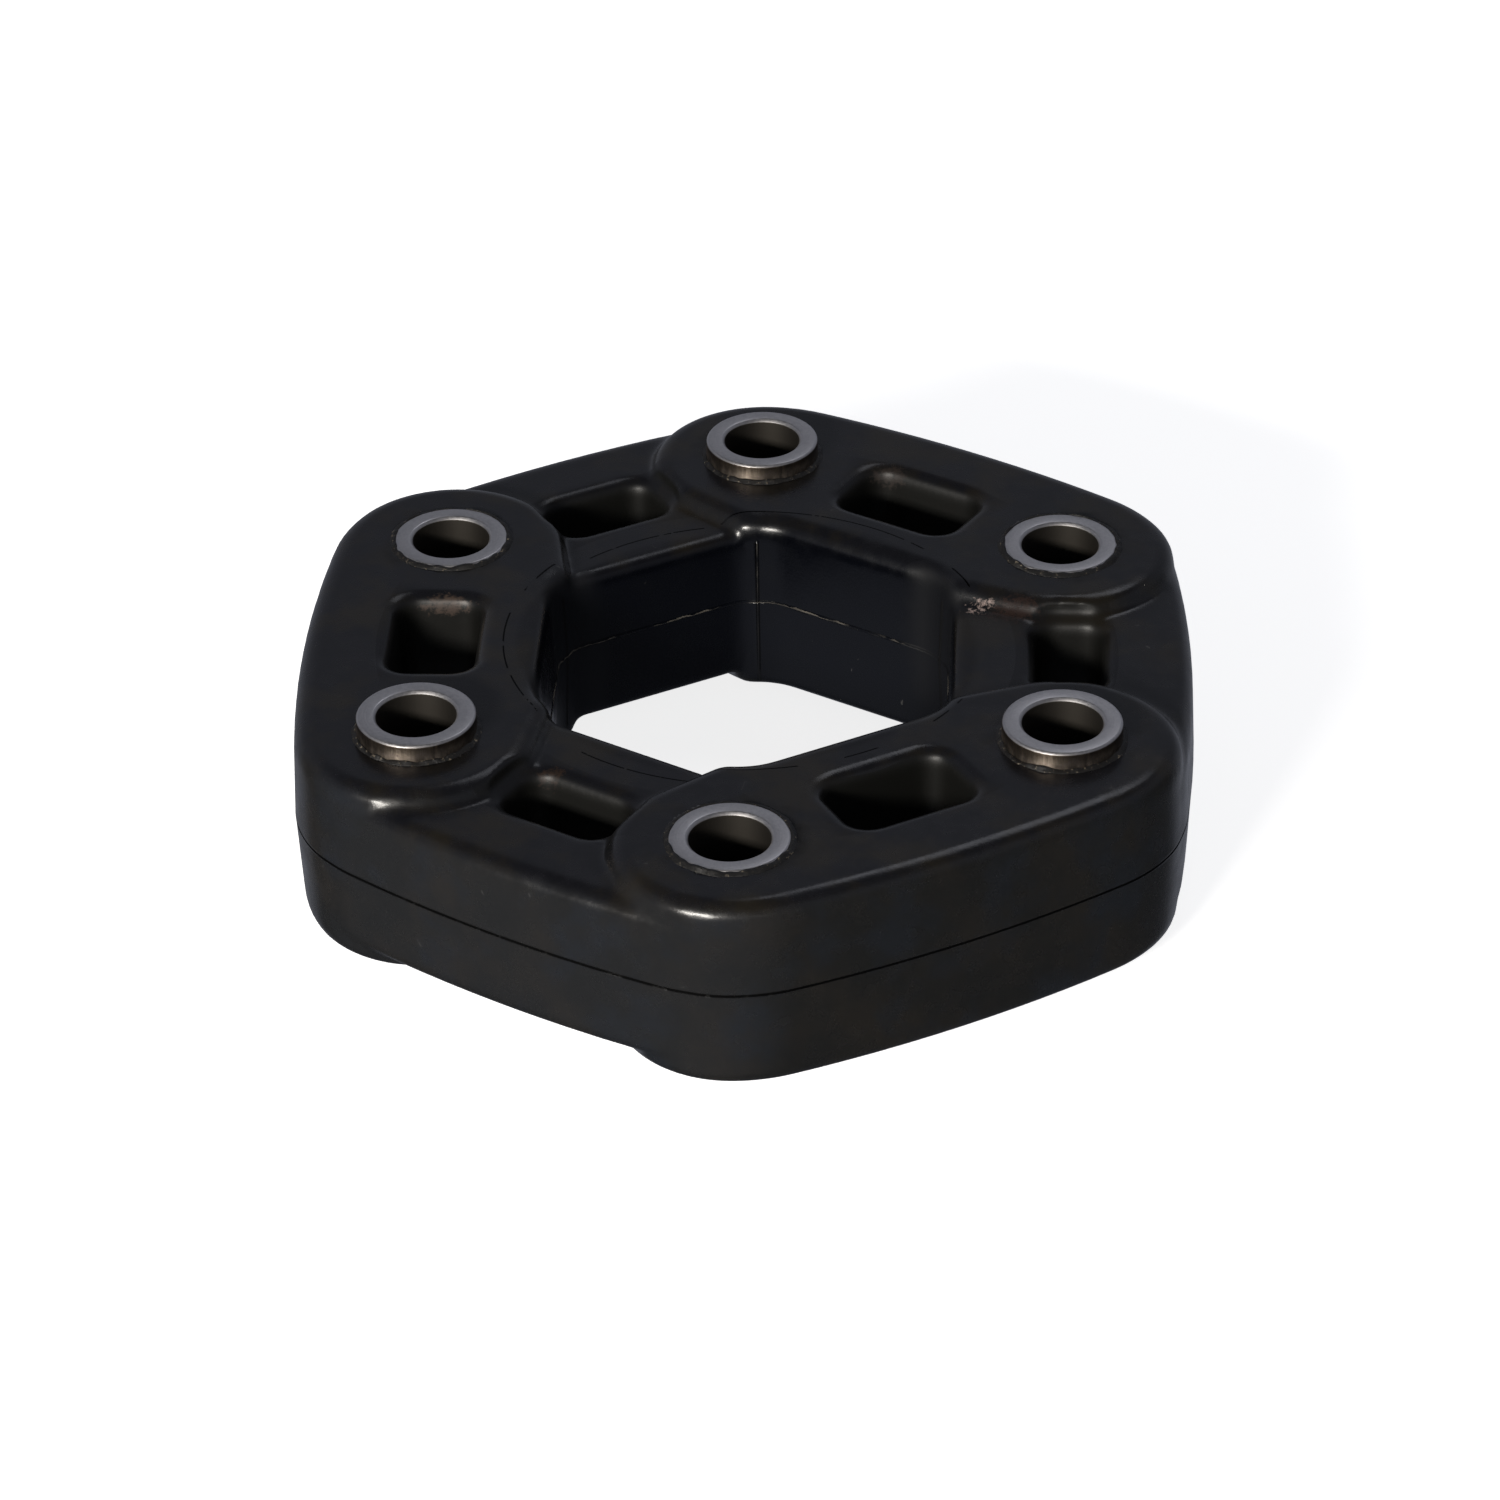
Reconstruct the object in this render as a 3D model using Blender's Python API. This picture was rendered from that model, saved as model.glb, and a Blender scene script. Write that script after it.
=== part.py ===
# Driveshaft flex disc: a moulded rubber ring on six steel sleeves, with wound cord packs inside.
#
# The frame has +Z up, the shaft axis on Z and the disc's middle plane at Z = 0. Sizes are in metres.
# Three links of the ring are thick pads and the three between them are thinner webs. The cords of a
# pad link run in two packs, near its upper and its lower face, and the cords of a web link run in one
# pack between them, so that the packs stack on each sleeve with a collar between each two.

import math

import bpy
import bmesh
from mathutils import Matrix, Vector

# Bolt circle and sleeves
LINK_COUNT = 6
BOLT_CIRCLE_RADIUS = 0.0480
SLEEVE_RADIUS = 0.0078
BOLT_HOLE_RADIUS = 0.0052
SLEEVE_PROUD_END = 0.0026       # every second sleeve stands this much out of the pad's upper face
SLEEVE_FLUSH_END = 0.0004       # and this much out of the lower face; the others the other way round
SLEEVE_OUTER_CHAMFER = 0.0003
SLEEVE_INNER_CHAMFER = 0.0004

# Rubber ring
PAD_HALF_HEIGHT = 0.01375
WEB_RECESS = 0.0023             # from a pad's face down to the web's face
PARTING_HEIGHT = 0.0010         # the mould parts a little above the middle plane
WALL_OUTSIDE_SLEEVE = 0.0158    # from a sleeve's axis out to the ring's outer wall
SIDE_BOW = 0.00122              # how far a side bows out of the straight line between its corners
RAIL_INSIDE_CHORD = 0.0149      # from that line in to the flat wall of the middle hole
OUTER_CORNER_RADIUS = 0.0216
HOLE_CORNER_RADIUS = 0.0084
PAD_INNER_CORNER_RADIUS = 0.0040   # where a pad's round end turns into the hole's corner
PAD_INNER_CORNER_LEAN = math.radians(4)
PAD_STAND_OUT = 0.0002          # the pads stand this much proud of the webs' walls
MOULD_DRAFT = math.radians(2.5)
EDGE_RADIUS = 0.0026
WEB_HOLE_EDGE_RADIUS = 0.0018

# Windows through the links
PAD_WINDOW_LENGTH = 0.0168
PAD_WINDOW_WIDTH = 0.0104
PAD_WINDOW_OFFSET = 0.0000      # outward from the line between the sleeves
WEB_WINDOW_LENGTH = 0.0152
WEB_WINDOW_WIDTH = 0.0084
WEB_WINDOW_OFFSET = 0.0011
WINDOW_CORNER_RADIUS = 0.0022
WINDOW_EDGE_RADIUS = 0.0014

# Cord packs and the collars between them
CORD_PACK_THICKNESS = 0.0042
MIDDLE_PACK_HEIGHT = 0.0094
RUBBER_OVER_CORDS = 0.00205     # from a pad's face down to its cord pack
CORD_CORNER = 0.0006
COLLAR_THICKNESS = 0.0008
COLLAR_REACH = 0.0052           # from the sleeve's wall out to the collar's rim
CLEARANCE = 0.0003              # between pieces that touch on the real part

# Facets
SLEEVE_SEGMENTS = 26
COLLAR_SEGMENTS = 20
LOOP_END_SEGMENTS = 8
OUTER_CORNER_STEPS = 6
SIDE_STEPS = 4
HOLE_CORNER_STEPS = 5
PAD_END_STEPS = 9
PAD_INNER_STEPS = 3
WINDOW_CORNER_STEPS = 2
EDGE_STEPS = 3
SAME_POINT = 0.00001            # arcs that meet smoothly share a point

LINK_ANGLE = 2.0 * math.pi / LINK_COUNT
HALF_LINK = 0.5 * LINK_ANGLE
CHORD_DISTANCE = BOLT_CIRCLE_RADIUS * math.cos(HALF_LINK)
REACH_AT_SLEEVE = BOLT_CIRCLE_RADIUS + WALL_OUTSIDE_SLEEVE
STRAIGHT_REACH = (REACH_AT_SLEEVE - OUTER_CORNER_RADIUS) * math.cos(HALF_LINK) + OUTER_CORNER_RADIUS
REACH_AT_LINK = STRAIGHT_REACH + SIDE_BOW
HOLE_APOTHEM = CHORD_DISTANCE - RAIL_INSIDE_CHORD
WEB_HALF_HEIGHT = PAD_HALF_HEIGHT - WEB_RECESS


def first_link_angle(kind):
    """Direction of the first pad link or web link; like links repeat every second link."""
    return math.pi if kind == "pad" else 0.0


def link_angles(kind):
    return [first_link_angle(kind) + 2 * step * LINK_ANGLE for step in range(LINK_COUNT // 2)]


def sleeve_angles():
    """Sleeves in turn round the bolt circle, starting with one that stands out upwards."""
    return [-HALF_LINK + step * LINK_ANGLE for step in range(LINK_COUNT)]


def at_angle(distance, angle):
    return (distance * math.cos(angle), distance * math.sin(angle))


def arc(centre, radius, start, end, steps):
    """A turn of an outline. One that runs clockwise is hollow, so an inset makes it wider."""
    return (centre, radius, start, end, steps)


def outline_points(arcs, inset):
    points = []
    for centre, radius, start, end, steps in arcs:
        inset_radius = radius - inset if end > start else radius + inset
        for step in range(steps + 1):
            angle = start + (end - start) * step / steps
            point = Vector(centre) + Vector(at_angle(inset_radius, angle))
            if not points or (point - points[-1]).length > SAME_POINT:
                points.append(point)
    if (points[0] - points[-1]).length <= SAME_POINT:
        points.pop()
    return points


def side_arc_size():
    """Radius of the slightly bowed side that meets two corner arcs of the outer wall smoothly."""
    corner_centre = REACH_AT_SLEEVE - OUTER_CORNER_RADIUS
    over = corner_centre ** 2 + REACH_AT_LINK ** 2 - OUTER_CORNER_RADIUS ** 2
    over -= 2.0 * corner_centre * REACH_AT_LINK * math.cos(HALF_LINK)
    under = 2.0 * (REACH_AT_LINK - corner_centre * math.cos(HALF_LINK) - OUTER_CORNER_RADIUS)
    return over / under


def corner_half_turn(side_radius):
    corner_centre = REACH_AT_SLEEVE - OUTER_CORNER_RADIUS
    beyond = side_radius - REACH_AT_LINK
    return math.atan2(beyond * math.sin(HALF_LINK), corner_centre + beyond * math.cos(HALF_LINK))


def ring_outline():
    side_radius = side_arc_size()
    turn = corner_half_turn(side_radius)
    arcs = []
    for angle in sleeve_angles():
        corner = at_angle(REACH_AT_SLEEVE - OUTER_CORNER_RADIUS, angle)
        side = at_angle(REACH_AT_LINK - side_radius, angle + HALF_LINK)
        arcs.append(arc(corner, OUTER_CORNER_RADIUS, angle - turn, angle + turn, OUTER_CORNER_STEPS))
        arcs.append(arc(side, side_radius, angle + turn, angle + LINK_ANGLE - turn, SIDE_STEPS))
    return arcs


def hole_outline():
    corner_centre = (HOLE_APOTHEM - HOLE_CORNER_RADIUS) / math.cos(HALF_LINK)
    arcs = []
    for angle in sleeve_angles():
        centre = at_angle(corner_centre, angle)
        arcs.append(arc(centre, HOLE_CORNER_RADIUS, angle - HALF_LINK, angle + HALF_LINK, HOLE_CORNER_STEPS))
    return arcs


def pad_end_arcs():
    """Half of a pad's outline: from the outer wall round its sleeve to the middle of the hole's wall."""
    sleeve = Vector(at_angle(BOLT_CIRCLE_RADIUS, HALF_LINK))
    hole_corner = Vector(at_angle((HOLE_APOTHEM - HOLE_CORNER_RADIUS) / math.cos(HALF_LINK), HALF_LINK))
    meet = HALF_LINK + PAD_INNER_CORNER_LEAN
    inner_corner = hole_corner + Vector(at_angle(HOLE_CORNER_RADIUS + PAD_INNER_CORNER_RADIUS, meet))
    between = inner_corner - sleeve
    bearing = math.atan2(between.y, between.x) % (2.0 * math.pi)
    leave = bearing - math.acos((WALL_OUTSIDE_SLEEVE - PAD_INNER_CORNER_RADIUS) / between.length)
    return [
        arc(sleeve, WALL_OUTSIDE_SLEEVE, HALF_LINK, leave, PAD_END_STEPS),
        arc(inner_corner, PAD_INNER_CORNER_RADIUS, leave, meet + math.pi, PAD_INNER_STEPS),
        arc(hole_corner, HOLE_CORNER_RADIUS, meet, 0.0, PAD_INNER_STEPS),
    ]


def pad_outline():
    """One pad, pointing along +X: the outer wall, a round end, the hole's wall and a round end."""
    side_radius = side_arc_size()
    turn = corner_half_turn(side_radius)
    corner_centre = REACH_AT_SLEEVE - OUTER_CORNER_RADIUS
    side_turn = HALF_LINK - turn
    upper_end = pad_end_arcs()
    lower_end = [
        arc((centre[0], -centre[1]), radius, -end, -start, steps)
        for centre, radius, start, end, steps in reversed(upper_end)
    ]
    lower_corner = at_angle(corner_centre, -HALF_LINK)
    upper_corner = at_angle(corner_centre, HALF_LINK)
    half_steps = OUTER_CORNER_STEPS // 2
    outer_wall = [
        arc(lower_corner, OUTER_CORNER_RADIUS, -HALF_LINK, -side_turn, half_steps),
        arc((REACH_AT_LINK - side_radius, 0.0), side_radius, -side_turn, side_turn, SIDE_STEPS),
        arc(upper_corner, OUTER_CORNER_RADIUS, side_turn, HALF_LINK, half_steps),
    ]
    return outer_wall + upper_end + lower_end


def window_outline(length, width, offset):
    """A rounded rectangle across the link that points along +X."""
    arcs = []
    corners = ((1, 1, 0.0), (-1, 1, 0.5), (-1, -1, 1.0), (1, -1, 1.5))
    for side_x, side_y, quarter in corners:
        centre = (
            CHORD_DISTANCE + offset + side_x * (0.5 * width - WINDOW_CORNER_RADIUS),
            side_y * (0.5 * length - WINDOW_CORNER_RADIUS),
        )
        start = quarter * math.pi
        arcs.append(arc(centre, WINDOW_CORNER_RADIUS, start, start + math.pi / 2, WINDOW_CORNER_STEPS))
    return arcs


def loft(name, arcs, levels, angle=0.0):
    """A closed solid whose outline changes its inset from level to level."""
    mesh = bmesh.new()
    turn = Matrix.Rotation(angle, 4, "Z")
    rings = []
    for height, inset in levels:
        ring = [mesh.verts.new(turn @ Vector((x, y, height))) for x, y in outline_points(arcs, inset)]
        rings.append(ring)
    for lower, upper in zip(rings, rings[1:]):
        for index in range(len(lower)):
            after = (index + 1) % len(lower)
            mesh.faces.new((lower[index], lower[after], upper[after], upper[index]))
    mesh.faces.new(list(reversed(rings[0])))
    mesh.faces.new(rings[-1])
    return mesh_object(name, mesh)


def mesh_object(name, mesh):
    bmesh.ops.recalc_face_normals(mesh, faces=mesh.faces[:])
    data = bpy.data.meshes.new(name)
    mesh.to_mesh(data)
    mesh.free()
    made = bpy.data.objects.new(name, data)
    bpy.context.scene.collection.objects.link(made)
    return made


def moulded_levels(half_height, edge_radius, narrowing, stand_out=0.0, overrun=0.0):
    """Heights and insets from the lower face to the upper one: walls drafted from the parting
    plane and rounded edges. A solid narrows towards its faces and an opening, at -1, widens."""
    halves = {}
    for side in (-1, 1):
        wall = half_height - side * PARTING_HEIGHT - edge_radius
        half = []
        for step in range(EDGE_STEPS + 1):
            turn = 0.5 * math.pi * step / EDGE_STEPS
            rise = wall + edge_radius * math.sin(turn)
            inset = narrowing * (wall * math.tan(MOULD_DRAFT) + edge_radius * (1.0 - math.cos(turn)))
            half.append((PARTING_HEIGHT + side * rise, inset - stand_out))
        if overrun:
            half.append((side * (half_height + overrun), half[-1][1]))
        halves[side] = half
    return halves[-1][::-1] + [(PARTING_HEIGHT, -stand_out)] + halves[1]


def turned(name, profile, centre, segments):
    """A solid turned about a vertical axis from a closed (radius, height) profile."""
    mesh = bmesh.new()
    rings = []
    for step in range(segments):
        angle = 2.0 * math.pi * step / segments
        ring = []
        for radius, height in profile:
            x, y = at_angle(radius, angle)
            ring.append(mesh.verts.new((centre[0] + x, centre[1] + y, height)))
        rings.append(ring)
    for step in range(segments):
        ring, after = rings[step], rings[(step + 1) % segments]
        for index in range(len(profile)):
            up = (index + 1) % len(profile)
            mesh.faces.new((ring[index], after[index], after[up], ring[up]))
    return mesh_object(name, mesh)


def cylinder(name, radius, low, high, centre, segments):
    mesh = bmesh.new()
    middle = Matrix.Translation((centre[0], centre[1], 0.5 * (low + high)))
    bmesh.ops.create_cone(
        mesh, cap_ends=True, segments=segments, radius1=radius, radius2=radius,
        depth=high - low, matrix=middle,
    )
    return mesh_object(name, mesh)


def combine(target, operand, operation):
    """Apply one exact Boolean to the target and remove the operand."""
    step = target.modifiers.new(operation.lower(), "BOOLEAN")
    step.operation = operation
    step.solver = "EXACT"
    step.object = operand
    graph = bpy.context.evaluated_depsgraph_get()
    result = bpy.data.meshes.new_from_object(target.evaluated_get(graph))
    target.modifiers.clear()
    old = target.data
    target.data = result
    bpy.data.meshes.remove(old)
    bpy.data.objects.remove(operand)


def material(name, colour, roughness, metallic=0.0):
    made = bpy.data.materials.new(name)
    made.use_nodes = True
    shader = made.node_tree.nodes["Principled BSDF"]
    shader.inputs["Base Color"].default_value = (*colour, 1.0)
    shader.inputs["Roughness"].default_value = roughness
    shader.inputs["Metallic"].default_value = metallic
    return made


def dress(piece, finish, sharp_angle=math.radians(35)):
    piece.data.materials.clear()
    piece.data.materials.append(finish)
    piece.data.shade_smooth()
    piece.data.set_sharp_from_angle(angle=sharp_angle)


def loop_arcs(radius, angle):
    """A racetrack round the two sleeves of the link at the angle."""
    first = at_angle(BOLT_CIRCLE_RADIUS, angle - HALF_LINK)
    second = at_angle(BOLT_CIRCLE_RADIUS, angle + HALF_LINK)
    return [
        arc(first, radius, angle - math.pi, angle, LOOP_END_SEGMENTS),
        arc(second, radius, angle, angle + math.pi, LOOP_END_SEGMENTS),
    ]


def cord_pack(name, angle, low, high):
    """A pack of cord wound as a flat loop, with the corners of its section rounded off."""
    inner = SLEEVE_RADIUS + CLEARANCE
    outer = inner + CORD_PACK_THICKNESS
    section = [
        (inner, low), (outer - CORD_CORNER, low), (outer, low + CORD_CORNER),
        (outer, high - CORD_CORNER), (outer - CORD_CORNER, high), (inner, high),
    ]
    mesh = bmesh.new()
    rings = []
    for radius, height in section:
        ring = [mesh.verts.new((x, y, height)) for x, y in outline_points(loop_arcs(radius, angle), 0.0)]
        rings.append(ring)
    for index, ring in enumerate(rings):
        after = rings[(index + 1) % len(rings)]
        for step in range(len(ring)):
            ahead = (step + 1) % len(ring)
            mesh.faces.new((ring[step], ring[ahead], after[ahead], after[step]))
    return mesh_object(name, mesh)


def pack_space(angle, low, high):
    """The room that a cord pack takes in the rubber, open to the two sleeve bores."""
    outer = SLEEVE_RADIUS + 2 * CLEARANCE + CORD_PACK_THICKNESS
    space_levels = [(low - CLEARANCE, 0.0), (high + CLEARANCE, 0.0)]
    island_levels = [(low - 2 * CLEARANCE, 0.0), (high + 2 * CLEARANCE, 0.0)]
    space = loft("pack_space", loop_arcs(outer, angle), space_levels)
    island = loft("pack_island", loop_arcs(SLEEVE_RADIUS, angle), island_levels)
    combine(space, island, "DIFFERENCE")
    return space


def pack_heights():
    """Low and high face of each pack and of the collar between them, on the side of the middle
    plane that it is on. The outer packs end under the rubber of the pads' faces."""
    middle = 0.5 * MIDDLE_PACK_HEIGHT
    collar = middle + CLEARANCE
    outer = collar + COLLAR_THICKNESS + CLEARANCE
    return {
        "middle": (-middle, middle),
        "collar": (collar, collar + COLLAR_THICKNESS),
        "upper": (outer, PAD_HALF_HEIGHT - RUBBER_OVER_CORDS),
        "lower": (RUBBER_OVER_CORDS - PAD_HALF_HEIGHT, -outer),
    }


def build_sleeves(finish):
    for number, angle in enumerate(sleeve_angles(), start=1):
        ends = (SLEEVE_PROUD_END, SLEEVE_FLUSH_END) if number % 2 else (SLEEVE_FLUSH_END, SLEEVE_PROUD_END)
        top = PAD_HALF_HEIGHT + ends[0]
        low = -PAD_HALF_HEIGHT - ends[1]
        outer, inner = SLEEVE_OUTER_CHAMFER, SLEEVE_INNER_CHAMFER
        profile = [
            (BOLT_HOLE_RADIUS, low + inner), (BOLT_HOLE_RADIUS + inner, low), (SLEEVE_RADIUS - outer, low),
            (SLEEVE_RADIUS, low + outer), (SLEEVE_RADIUS, top - outer), (SLEEVE_RADIUS - outer, top),
            (BOLT_HOLE_RADIUS + inner, top), (BOLT_HOLE_RADIUS, top - inner),
        ]
        centre = at_angle(BOLT_CIRCLE_RADIUS, angle)
        sleeve = turned(f"steel_sleeve_{number}", profile, centre, SLEEVE_SEGMENTS)
        dress(sleeve, finish)


def build_collars(finish):
    low, high = pack_heights()["collar"]
    inner = SLEEVE_RADIUS + CLEARANCE
    outer = SLEEVE_RADIUS + COLLAR_REACH
    for number, angle in enumerate(sleeve_angles(), start=1):
        centre = at_angle(BOLT_CIRCLE_RADIUS, angle)
        for place, side in (("upper", 1), ("lower", -1)):
            profile = [(inner, side * low), (outer, side * low), (outer, side * high), (inner, side * high)]
            collar = turned(f"{place}_collar_{number}", profile, centre, COLLAR_SEGMENTS)
            dress(collar, finish)


def build_cord_packs(finish):
    heights = pack_heights()
    for number, angle in enumerate(link_angles("pad"), start=1):
        for place in ("upper", "lower"):
            low, high = heights[place]
            dress(cord_pack(f"{place}_cord_pack_{number}", angle, low, high), finish)
    for number, angle in enumerate(link_angles("web"), start=1):
        low, high = heights["middle"]
        dress(cord_pack(f"middle_cord_pack_{number}", angle, low, high), finish)


def build_rubber(finish):
    body = loft("rubber_body", ring_outline(), moulded_levels(WEB_HALF_HEIGHT, EDGE_RADIUS, 1))
    hole_levels = moulded_levels(WEB_HALF_HEIGHT, WEB_HOLE_EDGE_RADIUS, -1, overrun=EDGE_RADIUS)
    combine(body, loft("hole", hole_outline(), hole_levels), "DIFFERENCE")
    pad_levels = moulded_levels(PAD_HALF_HEIGHT, EDGE_RADIUS, 1, stand_out=PAD_STAND_OUT)
    for angle in link_angles("pad"):
        combine(body, loft("pad", pad_outline(), pad_levels, angle), "UNION")

    pad_window = window_outline(PAD_WINDOW_LENGTH, PAD_WINDOW_WIDTH, PAD_WINDOW_OFFSET)
    web_window = window_outline(WEB_WINDOW_LENGTH, WEB_WINDOW_WIDTH, WEB_WINDOW_OFFSET)
    for kind, outline, half in (("pad", pad_window, PAD_HALF_HEIGHT), ("web", web_window, WEB_HALF_HEIGHT)):
        levels = moulded_levels(half, WINDOW_EDGE_RADIUS, -1, overrun=EDGE_RADIUS)
        for angle in link_angles(kind):
            combine(body, loft("window", outline, levels, angle), "DIFFERENCE")

    heights = pack_heights()
    for angle in link_angles("pad"):
        for place in ("upper", "lower"):
            combine(body, pack_space(angle, *heights[place]), "DIFFERENCE")
    for angle in link_angles("web"):
        combine(body, pack_space(angle, *heights["middle"]), "DIFFERENCE")

    bore_radius = (SLEEVE_RADIUS + CLEARANCE) / math.cos(math.pi / SLEEVE_SEGMENTS)
    collar_room = SLEEVE_RADIUS + COLLAR_REACH + 2 * CLEARANCE
    low, high = heights["collar"]
    for angle in sleeve_angles():
        centre = at_angle(BOLT_CIRCLE_RADIUS, angle)
        for side in (1, -1):
            bottom, top = sorted((side * (low - CLEARANCE), side * (high + CLEARANCE)))
            room = cylinder("collar_room", collar_room, bottom, top, centre, COLLAR_SEGMENTS)
            combine(body, room, "DIFFERENCE")
        way = PAD_HALF_HEIGHT + EDGE_RADIUS
        bore = cylinder("bore", bore_radius, -way, way, centre, SLEEVE_SEGMENTS)
        combine(body, bore, "DIFFERENCE")
    dress(body, finish)


for leftover in list(bpy.data.objects):
    bpy.data.objects.remove(leftover)

build_rubber(material("moulded_rubber", (0.018, 0.018, 0.020), 0.5))
build_sleeves(material("machined_steel", (0.55, 0.54, 0.52), 0.35, 1.0))
build_cord_packs(material("polyester_cord", (0.62, 0.58, 0.48), 0.8))
build_collars(material("collar_plastic", (0.12, 0.12, 0.13), 0.5))
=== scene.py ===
import math

import bmesh
import bpy
from mathutils import Matrix, Vector, kdtree, noise


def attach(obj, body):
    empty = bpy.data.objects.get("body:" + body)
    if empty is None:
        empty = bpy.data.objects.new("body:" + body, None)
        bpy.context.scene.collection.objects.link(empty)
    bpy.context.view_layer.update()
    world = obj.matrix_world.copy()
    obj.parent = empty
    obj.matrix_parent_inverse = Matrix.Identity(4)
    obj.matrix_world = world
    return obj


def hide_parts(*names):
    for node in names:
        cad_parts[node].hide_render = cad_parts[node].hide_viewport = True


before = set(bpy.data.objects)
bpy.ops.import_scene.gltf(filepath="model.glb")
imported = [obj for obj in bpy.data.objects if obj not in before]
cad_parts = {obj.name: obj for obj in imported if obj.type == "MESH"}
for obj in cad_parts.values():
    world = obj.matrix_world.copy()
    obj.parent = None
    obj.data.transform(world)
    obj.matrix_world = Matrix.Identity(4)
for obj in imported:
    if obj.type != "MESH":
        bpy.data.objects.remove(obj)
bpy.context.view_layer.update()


# Camera: a long lens a little above the disc, where the photograph was taken from. Its place was
# worked out from the rims of the six sleeves, in bolt circle radii from the middle of their tops.
BOLT_CIRCLE_RADIUS = 0.0480
PROUD_SLEEVE_TOP = 0.01635
IMAGE_WIDTH = 1500.0
FOCAL_PIXELS = 5208.6
elevation, azimuth, roll = math.radians(33.173), math.radians(3.0868), math.radians(-1.0369)
camera_distance, camera_right, camera_up = 14.3508, 0.0091, -0.3618
back = Vector((
    math.sin(azimuth) * math.cos(elevation),
    -math.cos(azimuth) * math.cos(elevation),
    math.sin(elevation),
))
level_right = Vector((math.cos(azimuth), math.sin(azimuth), 0.0))
level_up = back.cross(level_right)
right = level_right * math.cos(roll) + level_up * math.sin(roll)
up = level_up * math.cos(roll) - level_right * math.sin(roll)
stand = (back * camera_distance + right * camera_right + up * camera_up) * BOLT_CIRCLE_RADIUS
stand += Vector((0.0, 0.0, PROUD_SLEEVE_TOP))
camera_data = bpy.data.cameras.new("camera")
camera_data.sensor_width = 36.0
camera_data.lens = FOCAL_PIXELS / IMAGE_WIDTH * camera_data.sensor_width
camera = bpy.data.objects.new("camera", camera_data)
camera.matrix_world = Matrix.Translation(stand) @ Matrix((right, up, back)).transposed().to_4x4()
bpy.context.scene.collection.objects.link(camera)
bpy.context.scene.camera = camera
bpy.context.scene.view_settings.view_transform = "Standard"


# Floor: white studio paper, lit to plain white. The disc stands on the three sleeves whose lower
# ends stand out, so the paper is level with those.
FLOOR_HALF_WIDTH = 4.0
FLOOR_GAP = 0.00002     # keeps the paper just clear of the steel


def linear(hex_colour):
    """An sRGB hex value as the linear colour that a shader takes."""
    parts = [int(hex_colour[at:at + 2], 16) / 255.0 for at in (1, 3, 5)]
    made = [part / 12.92 if part <= 0.04045 else ((part + 0.055) / 1.055) ** 2.4 for part in parts]
    return (*made, 1.0)


def add_node(tree, kind, inputs=None, **settings):
    """Adds a node. An input given as a socket is linked, any other is set."""
    made = tree.nodes.new(kind)
    for name, value in settings.items():
        setattr(made, name, value)
    for socket, value in (inputs or {}).items():
        if isinstance(value, bpy.types.NodeSocket):
            tree.links.new(value, made.inputs[socket])
        else:
            made.inputs[socket].default_value = value
    return made


def new_material(name):
    """A material with its node tree and its shader."""
    made = bpy.data.materials.new(name)
    made.use_nodes = True
    return made, made.node_tree, made.node_tree.nodes["Principled BSDF"]


def finished_mesh(name, shape, material=None):
    """A bmesh as an object at the origin, shaded smooth."""
    data = bpy.data.meshes.new(name)
    shape.to_mesh(data)
    shape.free()
    data.shade_smooth()
    made = bpy.data.objects.new(name, data)
    bpy.context.scene.collection.objects.link(made)
    if material:
        data.materials.append(material)
    return made


# Matt paper over a light box: an even white that also lightens the disc's shadow.
paper, _, paper_shader = new_material("studio_paper_matt")
paper_shader.inputs["Base Color"].default_value = linear("#f4f4f4")
paper_shader.inputs["Roughness"].default_value = 0.9
paper_shader.inputs["Specular IOR Level"].default_value = 0.1
paper_shader.inputs["Emission Color"].default_value = linear("#ffffff")
paper_shader.inputs["Emission Strength"].default_value = 0.82
shape = bmesh.new()
bmesh.ops.create_grid(shape, x_segments=1, y_segments=1, size=FLOOR_HALF_WIDTH)
bmesh.ops.translate(shape, verts=shape.verts, vec=(0.0, 0.0, -PROUD_SLEEVE_TOP - FLOOR_GAP))
floor = finished_mesh("floor", shape, paper)
floor.visible_glossy = False


# Lights: a dim studio round the disc, darkest overhead and paler low behind, with a pale wall low at
# the front left. A soft box there gives the rounded edges their short bright streaks, a low strip in
# front lights the walls, and a weak box behind draws a thin line along the pads' top edges.
world = bpy.data.worlds.new("dim_studio")
world.use_nodes = True
tree = world.node_tree
FRONT_LEFT = (-0.5, -0.866, 0.0)
looking = add_node(tree, "ShaderNodeTexCoord").outputs["Generated"]
looking_axes = add_node(tree, "ShaderNodeSeparateXYZ", {0: looking})
height = looking_axes.outputs["Z"]
to_front_left = add_node(
    tree, "ShaderNodeVectorMath", {0: looking, 1: FRONT_LEFT}, operation="DOT_PRODUCT"
).outputs["Value"]
low_behind = add_node(
    tree, "ShaderNodeMapRange",
    {"Value": looking_axes.outputs["Y"], "From Min": 0.42, "From Max": 0.64, "To Min": 0.07, "To Max": 0.26},
    interpolation_type="SMOOTHSTEP",
).outputs["Result"]
walls = add_node(
    tree, "ShaderNodeMapRange",
    {"Value": height, "From Min": 0.0, "From Max": 0.45, "To Min": low_behind, "To Max": 0.19},
    interpolation_type="SMOOTHSTEP",
).outputs["Result"]
ceiling = add_node(
    tree, "ShaderNodeMapRange",
    {"Value": height, "From Min": 0.60, "From Max": 0.84, "To Min": 1.0, "To Max": 0.18},
    interpolation_type="SMOOTHSTEP",
).outputs["Result"]
room = add_node(tree, "ShaderNodeMath", {0: walls, 1: ceiling}, operation="MULTIPLY").outputs[0]
front_left = add_node(
    tree, "ShaderNodeMapRange",
    {"Value": to_front_left, "From Min": 0.05, "From Max": 0.80, "To Min": 0.0, "To Max": 0.25},
    interpolation_type="SMOOTHSTEP",
).outputs["Result"]
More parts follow.
